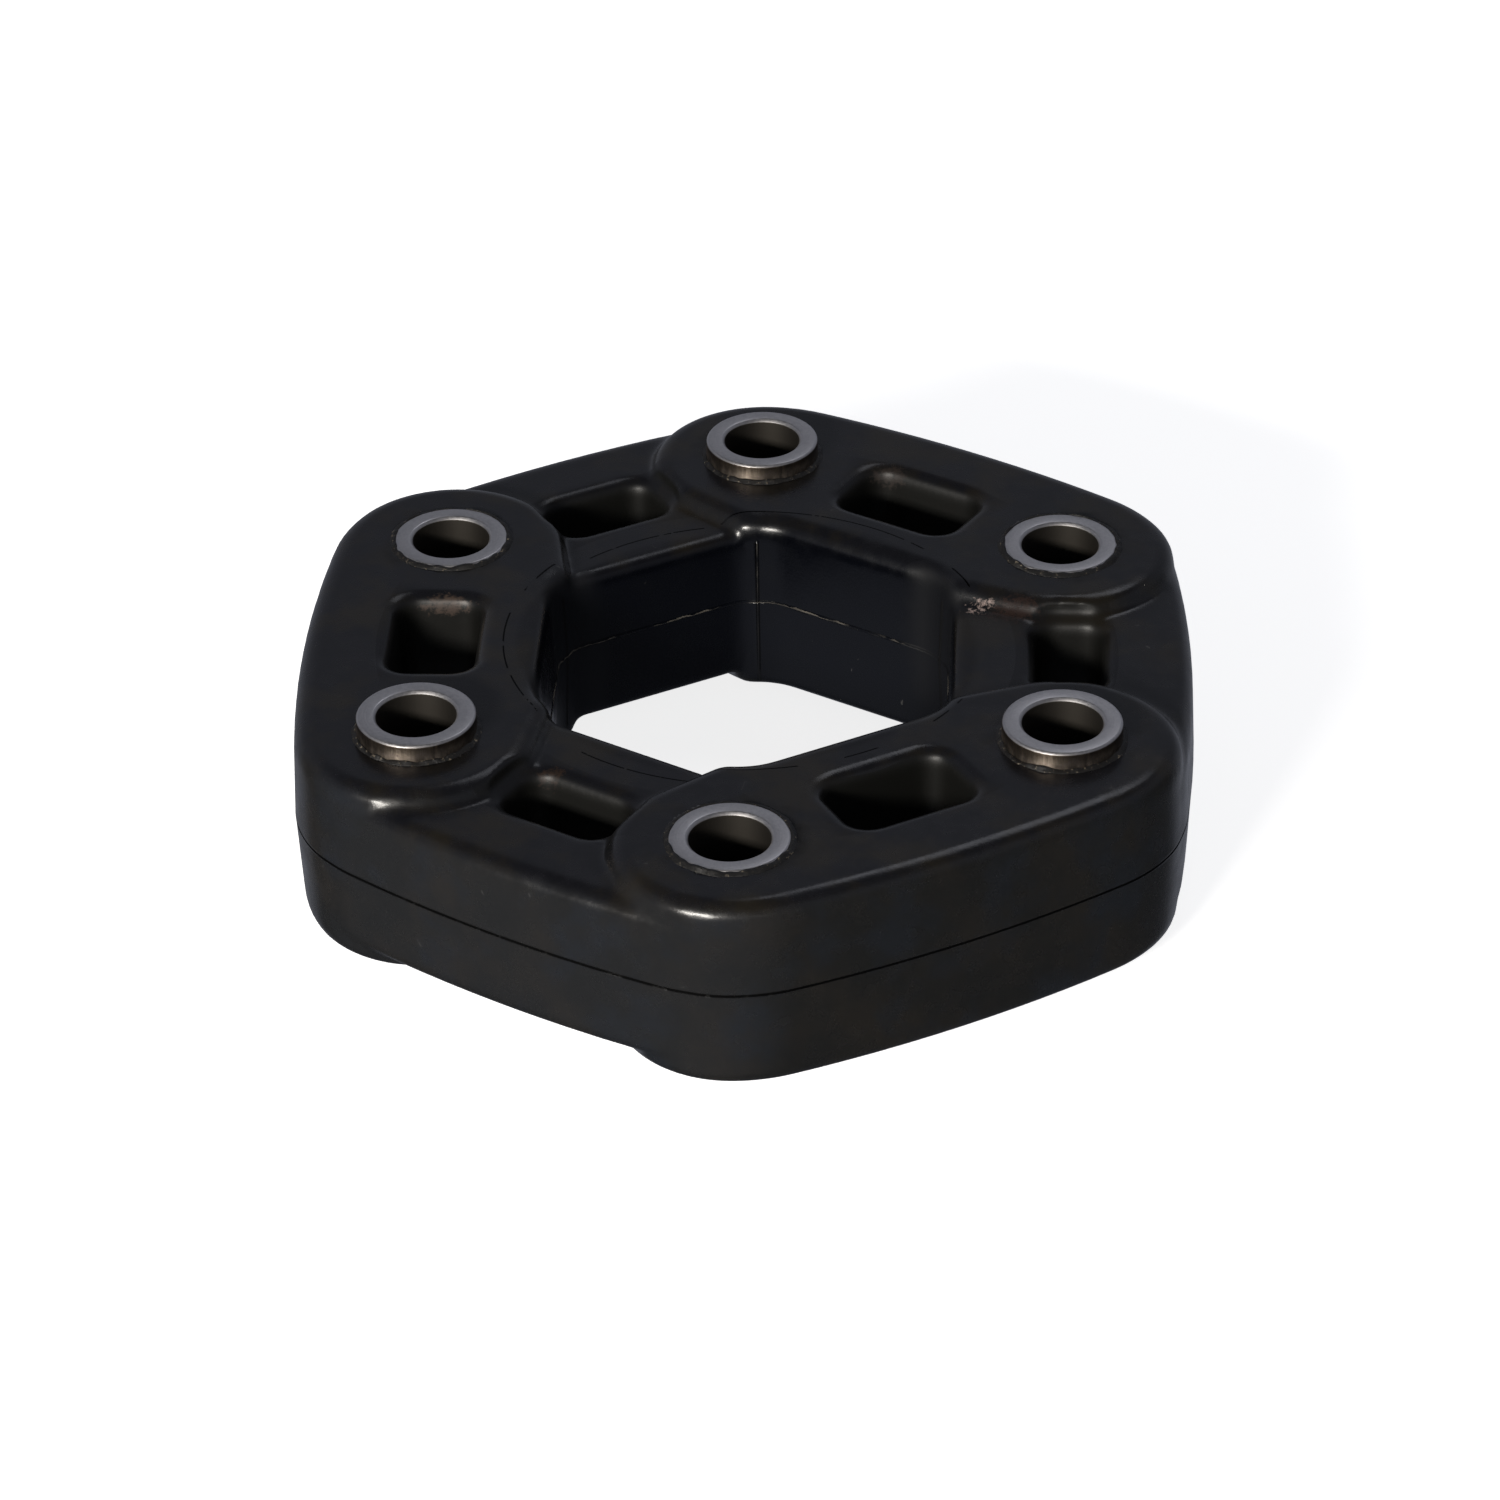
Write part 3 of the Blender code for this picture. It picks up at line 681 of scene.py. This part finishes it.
# Painted shade in the hole's corners and along the groove, and a painted highlight on the flash.
for share, tint in ((corner_shade, "#020203"), (groove_shade, "#040404"), (flash_highlight, "#5f5b54")):
    colour = add_node(
        tree, "ShaderNodeMix", {0: share, 6: colour, 7: linear(tint)}, data_type="RGBA"
    ).outputs[2]
# Dirt and grease pressed into the rubber round the sleeves, in places only. The ragged edge adds
# about 2 mm, so it thins out from 8 to 10 mm off a sleeve's axis.
GRIME_REACH = (0.0100, 0.0124)
GRIME_RAGGED = 0.004
spoke = add_node(tree, "ShaderNodeMath", {0: off_corner}, operation="COSINE").outputs[0]
spoke = add_node(
    tree, "ShaderNodeMath", {0: reach, 1: spoke, 2: -BOLT_CIRCLE_RADIUS}, operation="MULTIPLY_ADD"
).outputs[0]
beside = add_node(tree, "ShaderNodeMath", {0: off_corner}, operation="SINE").outputs[0]
beside = add_node(tree, "ShaderNodeMath", {0: reach, 1: beside}, operation="MULTIPLY").outputs[0]
off_sleeve = add_node(tree, "ShaderNodeCombineXYZ", {0: spoke, 1: beside}).outputs[0]
off_sleeve = add_node(tree, "ShaderNodeVectorMath", {0: off_sleeve}, operation="LENGTH").outputs["Value"]
ragged = add_node(
    tree, "ShaderNodeMath", {0: torn.outputs[0], 1: GRIME_RAGGED, 2: off_sleeve}, operation="MULTIPLY_ADD"
).outputs[0]
grime = add_node(
    tree, "ShaderNodeMapRange",
    {"Value": ragged, "From Min": GRIME_REACH[0], "From Max": GRIME_REACH[1], "To Min": 1.0, "To Max": 0.0},
).outputs["Result"]
for share in (level, handled):
    grime = add_node(tree, "ShaderNodeMath", {0: grime, 1: share}, operation="MULTIPLY").outputs[0]
colour = add_node(
    tree, "ShaderNodeMix", {0: grime, 6: colour, 7: linear("#0c0b09")}, data_type="RGBA"
).outputs[2]
# Scuffs: hair-fine pale scratches, here and there, along the borders of large random cells.
SCUFF_SCALE = 150.0         # cells 7 mm wide, with borders 0.08 mm wide
SCUFF_WIDTH = 0.006
BEND_SCALE = 90.0           # bends 11 mm long
BEND_REACH = 0.012
bend = add_node(tree, "ShaderNodeTexNoise", {"Vector": place, "Scale": BEND_SCALE, "Detail": 0.0})
warp = add_node(
    tree, "ShaderNodeVectorMath", {0: bend.outputs["Color"], 3: BEND_REACH}, operation="SCALE"
).outputs[0]
scuffed = add_node(tree, "ShaderNodeVectorMath", {0: place, 1: warp}, operation="ADD").outputs[0]
borders = add_node(
    tree, "ShaderNodeTexVoronoi", {"Vector": scuffed, "Scale": SCUFF_SCALE}, feature="DISTANCE_TO_EDGE"
)
scratch = add_node(
    tree, "ShaderNodeMath", {0: borders.outputs["Distance"], 1: SCUFF_WIDTH}, operation="LESS_THAN"
).outputs[0]
worn = add_node(
    tree, "ShaderNodeMath", {0: blotch.outputs[0], 1: 0.68}, operation="GREATER_THAN"
).outputs[0]
scratch = add_node(tree, "ShaderNodeMath", {0: scratch, 1: worn}, operation="MULTIPLY").outputs[0]
colour = add_node(
    tree, "ShaderNodeMix", {0: scratch, 6: colour, 7: linear("#3c3b3a")}, data_type="RGBA"
).outputs[2]
# Bruises and painted highlights: a painted highlight on a shiny scuff on the inner edge of the back
# right pad with brown beside it, brown or dull places on other edges, and brown on the windows'
# lips, partly their own colour and partly a painted dull sheen.
CRUMB_SCALE = 1300.0        # crumbs 0.8 mm wide
BRUISES_AND_HIGHLIGHTS = [
    # place, reach, colour
    # The first entry is the painted highlight.
    ((0.0303, 0.0106, 0.0126), 0.0023, "#a8968f"), ((0.0350, 0.0094, 0.0126), 0.0037, "#271e1b"),
    ((-0.0142, 0.0390, 0.0125), 0.0016, "#55534f"),
    ((-0.0409, 0.0084, 0.0127), 0.0032, "#3d332d"), ((-0.0231, -0.0292, 0.0101), 0.0026, "#261e1a"),
    ((0.0183, 0.0443, 0.0124), 0.0028, "#27221f"), ((0.0428, 0.0389, 0.0130), 0.0014, "#2c2420"),
]
DRAWN_OUT = Vector((0.5, 1.0, 1.0))     # each one is twice as long from left to right
drawn_out = add_node(
    tree, "ShaderNodeVectorMath", {0: place, 1: DRAWN_OUT}, operation="MULTIPLY"
).outputs[0]
crumb_noise = add_node(
    tree, "ShaderNodeTexNoise", {"Vector": place, "Scale": CRUMB_SCALE, "Detail": 3.0, "Roughness": 0.7}
)
for spot, spread, tint in BRUISES_AND_HIGHLIGHTS:
    away = add_node(
        tree, "ShaderNodeVectorMath", {0: drawn_out, 1: Vector(spot) * DRAWN_OUT}, operation="DISTANCE"
    ).outputs["Value"]
    near_spot = add_node(
        tree, "ShaderNodeMapRange",
        {"Value": away, "From Min": 0.3 * spread, "From Max": spread, "To Min": 0.55, "To Max": 0.0},
    ).outputs["Result"]
    crumbs = add_node(
        tree, "ShaderNodeMath", {0: crumb_noise.outputs[0], 1: near_spot}, operation="ADD"
    ).outputs[0]
    crumbs = add_node(
        tree, "ShaderNodeMapRange", {"Value": crumbs, "From Min": 0.84, "From Max": 1.02}
    ).outputs["Result"]
    colour = add_node(
        tree, "ShaderNodeMix", {0: crumbs, 6: colour, 7: linear(tint)}, data_type="RGBA"
    ).outputs[2]
# Dust: a pale speck 0.16 mm wide here and there, in one of about eight cells.
DUST_SCALE = 170.0          # cells 6 mm wide
SPECK_RADIUS = 0.014        # of a cell
cells = add_node(tree, "ShaderNodeTexVoronoi", {"Vector": place, "Scale": DUST_SCALE, "Randomness": 1.0})
speck = add_node(
    tree, "ShaderNodeMath", {0: cells.outputs["Distance"], 1: SPECK_RADIUS}, operation="LESS_THAN"
).outputs[0]
chance = add_node(tree, "ShaderNodeSeparateColor", {0: cells.outputs["Color"]}).outputs[0]
chance = add_node(tree, "ShaderNodeMath", {0: chance, 1: 0.88}, operation="GREATER_THAN").outputs[0]
speck = add_node(tree, "ShaderNodeMath", {0: speck, 1: chance}, operation="MULTIPLY").outputs[0]
colour = add_node(
    tree, "ShaderNodeMix", {0: speck, 6: colour, 7: linear("#77736c")}, data_type="RGBA"
).outputs[2]
tree.links.new(colour, shader.inputs["Base Color"])
# Gloss: satin, duller on the windows' walls and in the hole's corners, and next to none on the
# parting line's shaded groove, the insert seam and the grime.
CORNER_SKIN = (0.12, 0.26)      # radians off a corner
roughness = add_node(
    tree, "ShaderNodeMapRange",
    {"Value": blotch.outputs[0], "From Min": 0.3, "From Max": 0.7, "To Min": 0.18, "To Max": 0.31},
).outputs["Result"]
window_rough = add_node(tree, "ShaderNodeMix", {0: level, 2: 0.50, 3: 0.25}).outputs[0]
roughness = add_node(tree, "ShaderNodeMix", {0: window_band, 2: roughness, 3: window_rough}).outputs[0]
corner_skin = add_node(
    tree, "ShaderNodeMapRange",
    {
        "Value": off_corner, "From Min": CORNER_SKIN[0], "From Max": CORNER_SKIN[1],
        "To Min": 1.0, "To Max": 0.0,
    },
).outputs["Result"]
not_back = add_node(tree, "ShaderNodeMath", {0: 1.0, 1: at_back}, operation="SUBTRACT").outputs[0]
for share in (not_back, in_hole):
    corner_skin = add_node(
        tree, "ShaderNodeMath", {0: corner_skin, 1: share}, operation="MULTIPLY"
    ).outputs[0]
for share, value in ((corner_skin, 0.60), (groove_shade, 0.50)):
    roughness = add_node(tree, "ShaderNodeMix", {0: share, 2: roughness, 3: value}).outputs[0]
tree.links.new(roughness, shader.inputs["Roughness"])
no_shine = add_node(tree, "ShaderNodeMath", {0: groove_shade, 1: insert_seam}, operation="MAXIMUM").outputs[0]
dull_grime = add_node(tree, "ShaderNodeMath", {0: grime, 1: 0.6}, operation="MULTIPLY").outputs[0]
no_shine = add_node(tree, "ShaderNodeMath", {0: no_shine, 1: dull_grime}, operation="MAXIMUM").outputs[0]
sheltered = add_node(tree, "ShaderNodeMath", {0: in_hole, 1: window_band}, operation="MAXIMUM").outputs[0]
shine = add_node(tree, "ShaderNodeMix", {0: sheltered, 2: 0.45, 3: 0.32}).outputs[0]
shine = add_node(tree, "ShaderNodeMix", {0: no_shine, 2: shine, 3: 0.06}).outputs[0]
tree.links.new(shine, shader.inputs["Specular IOR Level"])
RIPPLE_SCALE = 70.0         # slow waves in the skin, 14 mm
wave = add_node(tree, "ShaderNodeTexNoise", {"Vector": place, "Scale": RIPPLE_SCALE, "Detail": 1.0})
ripple = add_node(tree, "ShaderNodeBump", {"Height": wave.outputs[0], "Strength": 0.30, "Distance": 0.0005})
seam = add_node(
    tree, "ShaderNodeBump",
    {"Height": insert_seam, "Strength": 1.0, "Distance": 0.0004, "Normal": ripple.outputs[0]}, invert=True,
)
fine = add_node(
    tree, "ShaderNodeBump",
    {"Height": grain.outputs[0], "Strength": 0.24, "Distance": 0.00006, "Normal": seam.outputs[0]},
)
tree.links.new(fine.outputs[0], shader.inputs["Normal"])
rubber.data.materials.clear()
rubber.data.materials.append(rubber_black)
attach(rubber, "root")
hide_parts("rubber_body")


# Sleeves: drawn steel tube, faced and chamfered in a lathe. Each one stands out of the rubber at
# one end, and its wall there is stained by the moulding heat.
SLEEVE_BORE_RADIUS = 0.0052
SLEEVE_PROUD_END = 0.0026
SLEEVE_FLUSH_END = 0.0004
OUTER_CHAMFER = 0.0003
INNER_CHAMFER = 0.0004
RIM_ROUNDING = 0.00012
SLEEVE_STEPS = 128
MID_WALL_RADIUS = 0.0064
DARK_BAND = (0.0013, 0.0026)   # over the pads' faces, where the wall turns darkest
DARK_BAND_RAGGED = 0.0012
DRAW_MARK_SCALE = 3000.0        # a metre, as before: marks 0.33 mm wide, and twelve times as long
STAIN_SCALE = 420.0             # stains 2.4 mm wide
SPECKLE_SCALE = 2600.0          # speckles 0.4 mm wide
LATHE_LINE_SCALE = 5200.0       # tool lines 0.2 mm apart


def sleeve_steel(number, centre):
    """Bright turned ends, browned walls with marks along them, and a bore darkened with painted shade."""
    made, tree, shader = new_material(f"turned_steel_{number}")
    place = add_node(tree, "ShaderNodeTexCoord").outputs["Object"]
    place = add_node(tree, "ShaderNodeMapping", {0: place, "Location": -centre}).outputs[0]
    axes = add_node(tree, "ShaderNodeSeparateXYZ", {0: place})
    flat = add_node(tree, "ShaderNodeCombineXYZ", {0: axes.outputs[0], 1: axes.outputs[1]})
    radius = add_node(
        tree, "ShaderNodeVectorMath", {0: flat.outputs[0]}, operation="LENGTH"
    ).outputs["Value"]
    normal = add_node(tree, "ShaderNodeNewGeometry").outputs["Normal"]
    facing = add_node(tree, "ShaderNodeSeparateXYZ", {0: normal})
    level = add_node(tree, "ShaderNodeMath", {0: facing.outputs["Z"]}, operation="ABSOLUTE").outputs[0]
    level = add_node(
        tree, "ShaderNodeMapRange", {"Value": level, "From Min": 0.35, "From Max": 0.75}
    ).outputs["Result"]
    in_bore = add_node(
        tree, "ShaderNodeMapRange",
        {
            "Value": radius, "From Min": SLEEVE_BORE_RADIUS, "From Max": MID_WALL_RADIUS,
            "To Min": 1.0, "To Max": 0.0,
        },
    ).outputs["Result"]
    drawn = add_node(tree, "ShaderNodeMapping", {0: place, "Scale": (1.0, 1.0, 0.08)}).outputs[0]
    scratch = add_node(
        tree, "ShaderNodeTexNoise",
        {"Vector": drawn, "Scale": DRAW_MARK_SCALE, "Detail": 3.0, "Roughness": 0.6},
    )
    stain = add_node(
        tree, "ShaderNodeTexNoise", {"Vector": place, "Scale": STAIN_SCALE, "Detail": 4.0, "Roughness": 0.6}
    )
    speckle = add_node(
        tree, "ShaderNodeTexNoise", {"Vector": place, "Scale": SPECKLE_SCALE, "Detail": 3.0, "Roughness": 0.7}
    )
    lathe = add_node(
        tree, "ShaderNodeTexNoise", {"W": radius, "Scale": LATHE_LINE_SCALE, "Detail": 2.0},
        noise_dimensions="1D",
    )
    stained = add_node(
        tree, "ShaderNodeMapRange", {"Value": stain.outputs[0], "From Min": 0.38, "From Max": 0.62}
    ).outputs["Result"]
    wall = add_node(
        tree, "ShaderNodeMix", {0: stained, 6: linear("#5c544b"), 7: linear("#8b8075")}, data_type="RGBA"
    ).outputs[2]
    # The wall turns darker towards the top of its proud end.
    out_of_rubber = add_node(tree, "ShaderNodeMath", {0: axes.outputs[2]}, operation="ABSOLUTE").outputs[0]
    darker_top = add_node(
        tree, "ShaderNodeMath", {0: scratch.outputs[0], 1: DARK_BAND_RAGGED, 2: out_of_rubber},
        operation="MULTIPLY_ADD",
    ).outputs[0]
    darker_top = add_node(
        tree, "ShaderNodeMapRange",
        {
            "Value": darker_top, "From Min": PAD_HALF_HEIGHT + DARK_BAND[0],
            "From Max": PAD_HALF_HEIGHT + DARK_BAND[1],
        },
    ).outputs["Result"]
    # Mixed into the wall: its darker top, and painted shade in the bore.
    for share, tint in ((darker_top, "#473f37"), (in_bore, "#3d3a36")):
        wall = add_node(
            tree, "ShaderNodeMix", {0: share, 6: wall, 7: linear(tint)}, data_type="RGBA"
        ).outputs[2]
    face = add_node(
        tree, "ShaderNodeMix", {0: speckle.outputs[0], 6: linear("#bab8b9"), 7: linear("#dad8d9")},
        data_type="RGBA",
    ).outputs[2]
    colour = add_node(tree, "ShaderNodeMix", {0: level, 6: wall, 7: face}, data_type="RGBA").outputs[2]
    tree.links.new(colour, shader.inputs["Base Color"])
    shader.inputs["Metallic"].default_value = 1.0
    wall_rough = add_node(
        tree, "ShaderNodeMapRange",
        {"Value": scratch.outputs[0], "From Min": 0.35, "From Max": 0.65, "To Min": 0.34, "To Max": 0.56},
    ).outputs["Result"]
    face_rough = add_node(
        tree, "ShaderNodeMapRange",
        {"Value": speckle.outputs[0], "From Min": 0.35, "From Max": 0.65, "To Min": 0.34, "To Max": 0.46},
    ).outputs["Result"]
    wall_rough = add_node(tree, "ShaderNodeMix", {0: in_bore, 2: wall_rough, 3: 0.66}).outputs[0]
    rough = add_node(tree, "ShaderNodeMix", {0: level, 2: wall_rough, 3: face_rough}).outputs[0]
    tree.links.new(rough, shader.inputs["Roughness"])
    marks = add_node(
        tree, "ShaderNodeMix", {0: level, 2: scratch.outputs[0], 3: lathe.outputs[0]}
    ).outputs[0]
    bump = add_node(tree, "ShaderNodeBump", {"Height": marks, "Strength": 0.4, "Distance": 0.00004})
    tree.links.new(bump.outputs[0], shader.inputs["Normal"])
    return made


for number, angle in enumerate(sleeve_angles, start=1):
    ends = (SLEEVE_PROUD_END, SLEEVE_FLUSH_END) if number % 2 else (SLEEVE_FLUSH_END, SLEEVE_PROUD_END)
    high = PAD_HALF_HEIGHT + ends[0]
    low = -PAD_HALF_HEIGHT - ends[1]
    profile = [
        (SLEEVE_BORE_RADIUS, low + INNER_CHAMFER), (SLEEVE_BORE_RADIUS + INNER_CHAMFER, low),
        (SLEEVE_RADIUS - OUTER_CHAMFER, low), (SLEEVE_RADIUS, low + OUTER_CHAMFER),
        (SLEEVE_RADIUS, high - OUTER_CHAMFER), (SLEEVE_RADIUS - OUTER_CHAMFER, high),
        (SLEEVE_BORE_RADIUS + INNER_CHAMFER, high), (SLEEVE_BORE_RADIUS, high - INNER_CHAMFER),
    ]
    shape = bmesh.new()
    corners = [shape.verts.new((radius, 0.0, height)) for radius, height in profile]
    for corner, after in zip(corners, corners[1:] + corners[:1]):
        shape.edges.new((corner, after))
    bmesh.ops.spin(
        shape, geom=shape.verts[:] + shape.edges[:], cent=(0, 0, 0), axis=(0, 0, 1),
        angle=2.0 * math.pi, steps=SLEEVE_STEPS, use_merge=True, use_duplicate=False,
    )
    bmesh.ops.remove_doubles(shape, verts=shape.verts[:], dist=SAME_POINT)
    rims = [
        edge for edge in shape.edges
        if abs(edge.verts[0].co.z - edge.verts[1].co.z) < SAME_POINT
        and abs(edge.verts[0].co.xy.length - edge.verts[1].co.xy.length) < SAME_POINT
    ]
    bmesh.ops.bevel(
        shape, geom=rims, offset=RIM_ROUNDING, offset_type="OFFSET", segments=2, profile=0.5,
        affect="EDGES", material=-1, clamp_overlap=True,
    )
    centre = polar(BOLT_CIRCLE_RADIUS, angle)
    bmesh.ops.translate(shape, verts=shape.verts, vec=centre)
    bmesh.ops.recalc_face_normals(shape, faces=shape.faces[:])
    sleeve = finished_mesh(f"sleeve_{number}", shape, sleeve_steel(number, centre))
    sleeve.data.set_sharp_from_angle(angle=math.radians(30))
    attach(sleeve, "root")
    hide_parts(f"steel_sleeve_{number}")


# Flash rings: rubber and bonding agent that crept up each sleeve while the disc was moulded, a low
# ragged collar between steel and pad at both ends.
FLASH_STEPS = 200
FLASH_CREEP = 0.00060           # how far it wanders over the pad, this far from the sleeve's wall:
FLASH_CREEP_AT = 0.0014
FLASH_CREEP_WAVES = 420.0       # a metre: 2.4 mm long
FLASH_TORN = 0.9                # the share by which its height changes
FLASH_TORN_WAVES = 700.0        # 1.4 mm long
CRUST_SCALE = 1500.0            # crumbs 0.7 mm wide
PATCH_SCALE = 260.0             # patches 4 mm wide
flash_rubber, tree, shader = new_material("rubber_flash_with_bonding_agent")
place = add_node(tree, "ShaderNodeTexCoord").outputs["Object"]
crust = add_node(
    tree, "ShaderNodeTexNoise", {"Vector": place, "Scale": CRUST_SCALE, "Detail": 4.0, "Roughness": 0.7}
)
patch = add_node(tree, "ShaderNodeTexNoise", {"Vector": place, "Scale": PATCH_SCALE, "Detail": 3.0})
pale = add_node(
    tree, "ShaderNodeMapRange", {"Value": crust.outputs[0], "From Min": 0.60, "From Max": 0.68}
).outputs["Result"]
colour = add_node(
    tree, "ShaderNodeMix", {0: patch.outputs[0], 6: linear("#0e0e0f"), 7: linear("#1a1816")}, data_type="RGBA"
).outputs[2]
colour = add_node(
    tree, "ShaderNodeMix", {0: pale, 6: colour, 7: linear("#7c7263")}, data_type="RGBA"
).outputs[2]
tree.links.new(colour, shader.inputs["Base Color"])
shader.inputs["Roughness"].default_value = 0.5
shader.inputs["Specular IOR Level"].default_value = 0.4
bump = add_node(tree, "ShaderNodeBump", {"Height": crust.outputs[0], "Strength": 0.7, "Distance": 0.00025})
tree.links.new(bump.outputs[0], shader.inputs["Normal"])
FLASH_PROFILE = (
    # distance from the sleeve's axis, height over the pad
    (SLEEVE_RADIUS - 0.0002, -0.0005), (SLEEVE_RADIUS - 0.0002, 0.00034),
    (SLEEVE_RADIUS + 0.00012, 0.00036), (SLEEVE_RADIUS + 0.00028, 0.00024),
    (SLEEVE_RADIUS + 0.0005, 0.00010), (SLEEVE_RADIUS + 0.0008, -0.00014),
    (SLEEVE_RADIUS + 0.0008, -0.0005),
)
for number, angle in enumerate(sleeve_angles, start=1):
    for place_name, side in (("upper", 1), ("lower", -1)):
        shape = bmesh.new()
        corners = [shape.verts.new((radius, 0.0, height)) for radius, height in FLASH_PROFILE]
        for corner, after in zip(corners, corners[1:] + corners[:1]):
            shape.edges.new((corner, after))
        bmesh.ops.spin(
            shape, geom=shape.verts[:] + shape.edges[:], cent=(0, 0, 0), axis=(0, 0, 1),
            angle=2.0 * math.pi, steps=FLASH_STEPS, use_merge=True, use_duplicate=False,
        )
        bmesh.ops.remove_doubles(shape, verts=shape.verts[:], dist=SAME_POINT)
        centre = polar(BOLT_CIRCLE_RADIUS, angle)
        for vert in shape.verts:
            # The noise is read at another place for each ring, so that no two are torn alike.
            spot = vert.co + centre * 3.0 + Vector((0, 0, side * 0.1))
            off_wall = vert.co.xy.length - SLEEVE_RADIUS
            if off_wall > 0.0:
                creep = FLASH_CREEP * noise.noise(spot * FLASH_CREEP_WAVES) * off_wall / FLASH_CREEP_AT
                vert.co += vert.co.xy.normalized().to_3d() * creep
            if vert.co.z > 0.0:
                vert.co.z *= 1.0 + FLASH_TORN * noise.noise(spot * FLASH_TORN_WAVES)
            vert.co.z = side * (PAD_HALF_HEIGHT + vert.co.z)
        bmesh.ops.translate(shape, verts=shape.verts, vec=centre)
        bmesh.ops.recalc_face_normals(shape, faces=shape.faces[:])
        flash = finished_mesh(f"flash_ring_{place_name}_{number}", shape, flash_rubber)
        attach(flash, "root")


# Cord packs and collars: polyester cord wound as loops, and moulded plastic collars between the
# packs. They lie inside the rubber, so only their materials are made here.
CORD_LAY_SCALE = 900.0          # bands 0.35 mm apart, the lay of one cord
COLLAR_GRAIN_SCALE = 1500.0     # grain 0.7 mm wide
cord, tree, shader = new_material("polyester_cord_dipped")
place = add_node(tree, "ShaderNodeTexCoord").outputs["Object"]
lay = add_node(
    tree, "ShaderNodeTexWave", {"Vector": place, "Scale": CORD_LAY_SCALE, "Distortion": 1.5},
    wave_type="BANDS", bands_direction="Z",
)
colour = add_node(
    tree, "ShaderNodeMix", {0: lay.outputs["Fac"], 6: linear("#8d8168"), 7: linear("#cfc4a8")},
    data_type="RGBA",
).outputs[2]
tree.links.new(colour, shader.inputs["Base Color"])
shader.inputs["Roughness"].default_value = 0.8
bump = add_node(tree, "ShaderNodeBump", {"Height": lay.outputs["Fac"], "Strength": 0.6, "Distance": 0.0002})
tree.links.new(bump.outputs[0], shader.inputs["Normal"])
collar_plastic, tree, shader = new_material("polyamide_collar_moulded")
place = add_node(tree, "ShaderNodeTexCoord").outputs["Object"]
grain = add_node(
    tree, "ShaderNodeTexNoise", {"Vector": place, "Scale": COLLAR_GRAIN_SCALE, "Detail": 2.0}
)
colour = add_node(
    tree, "ShaderNodeMix", {0: grain.outputs[0], 6: linear("#1c1c1e"), 7: linear("#28282a")}, data_type="RGBA"
).outputs[2]
tree.links.new(colour, shader.inputs["Base Color"])
shader.inputs["Roughness"].default_value = 0.5
for name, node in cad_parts.items():
    if "cord_pack" in name or "collar" in name:
        node.data.materials.clear()
        node.data.materials.append(cord if "cord_pack" in name else collar_plastic)
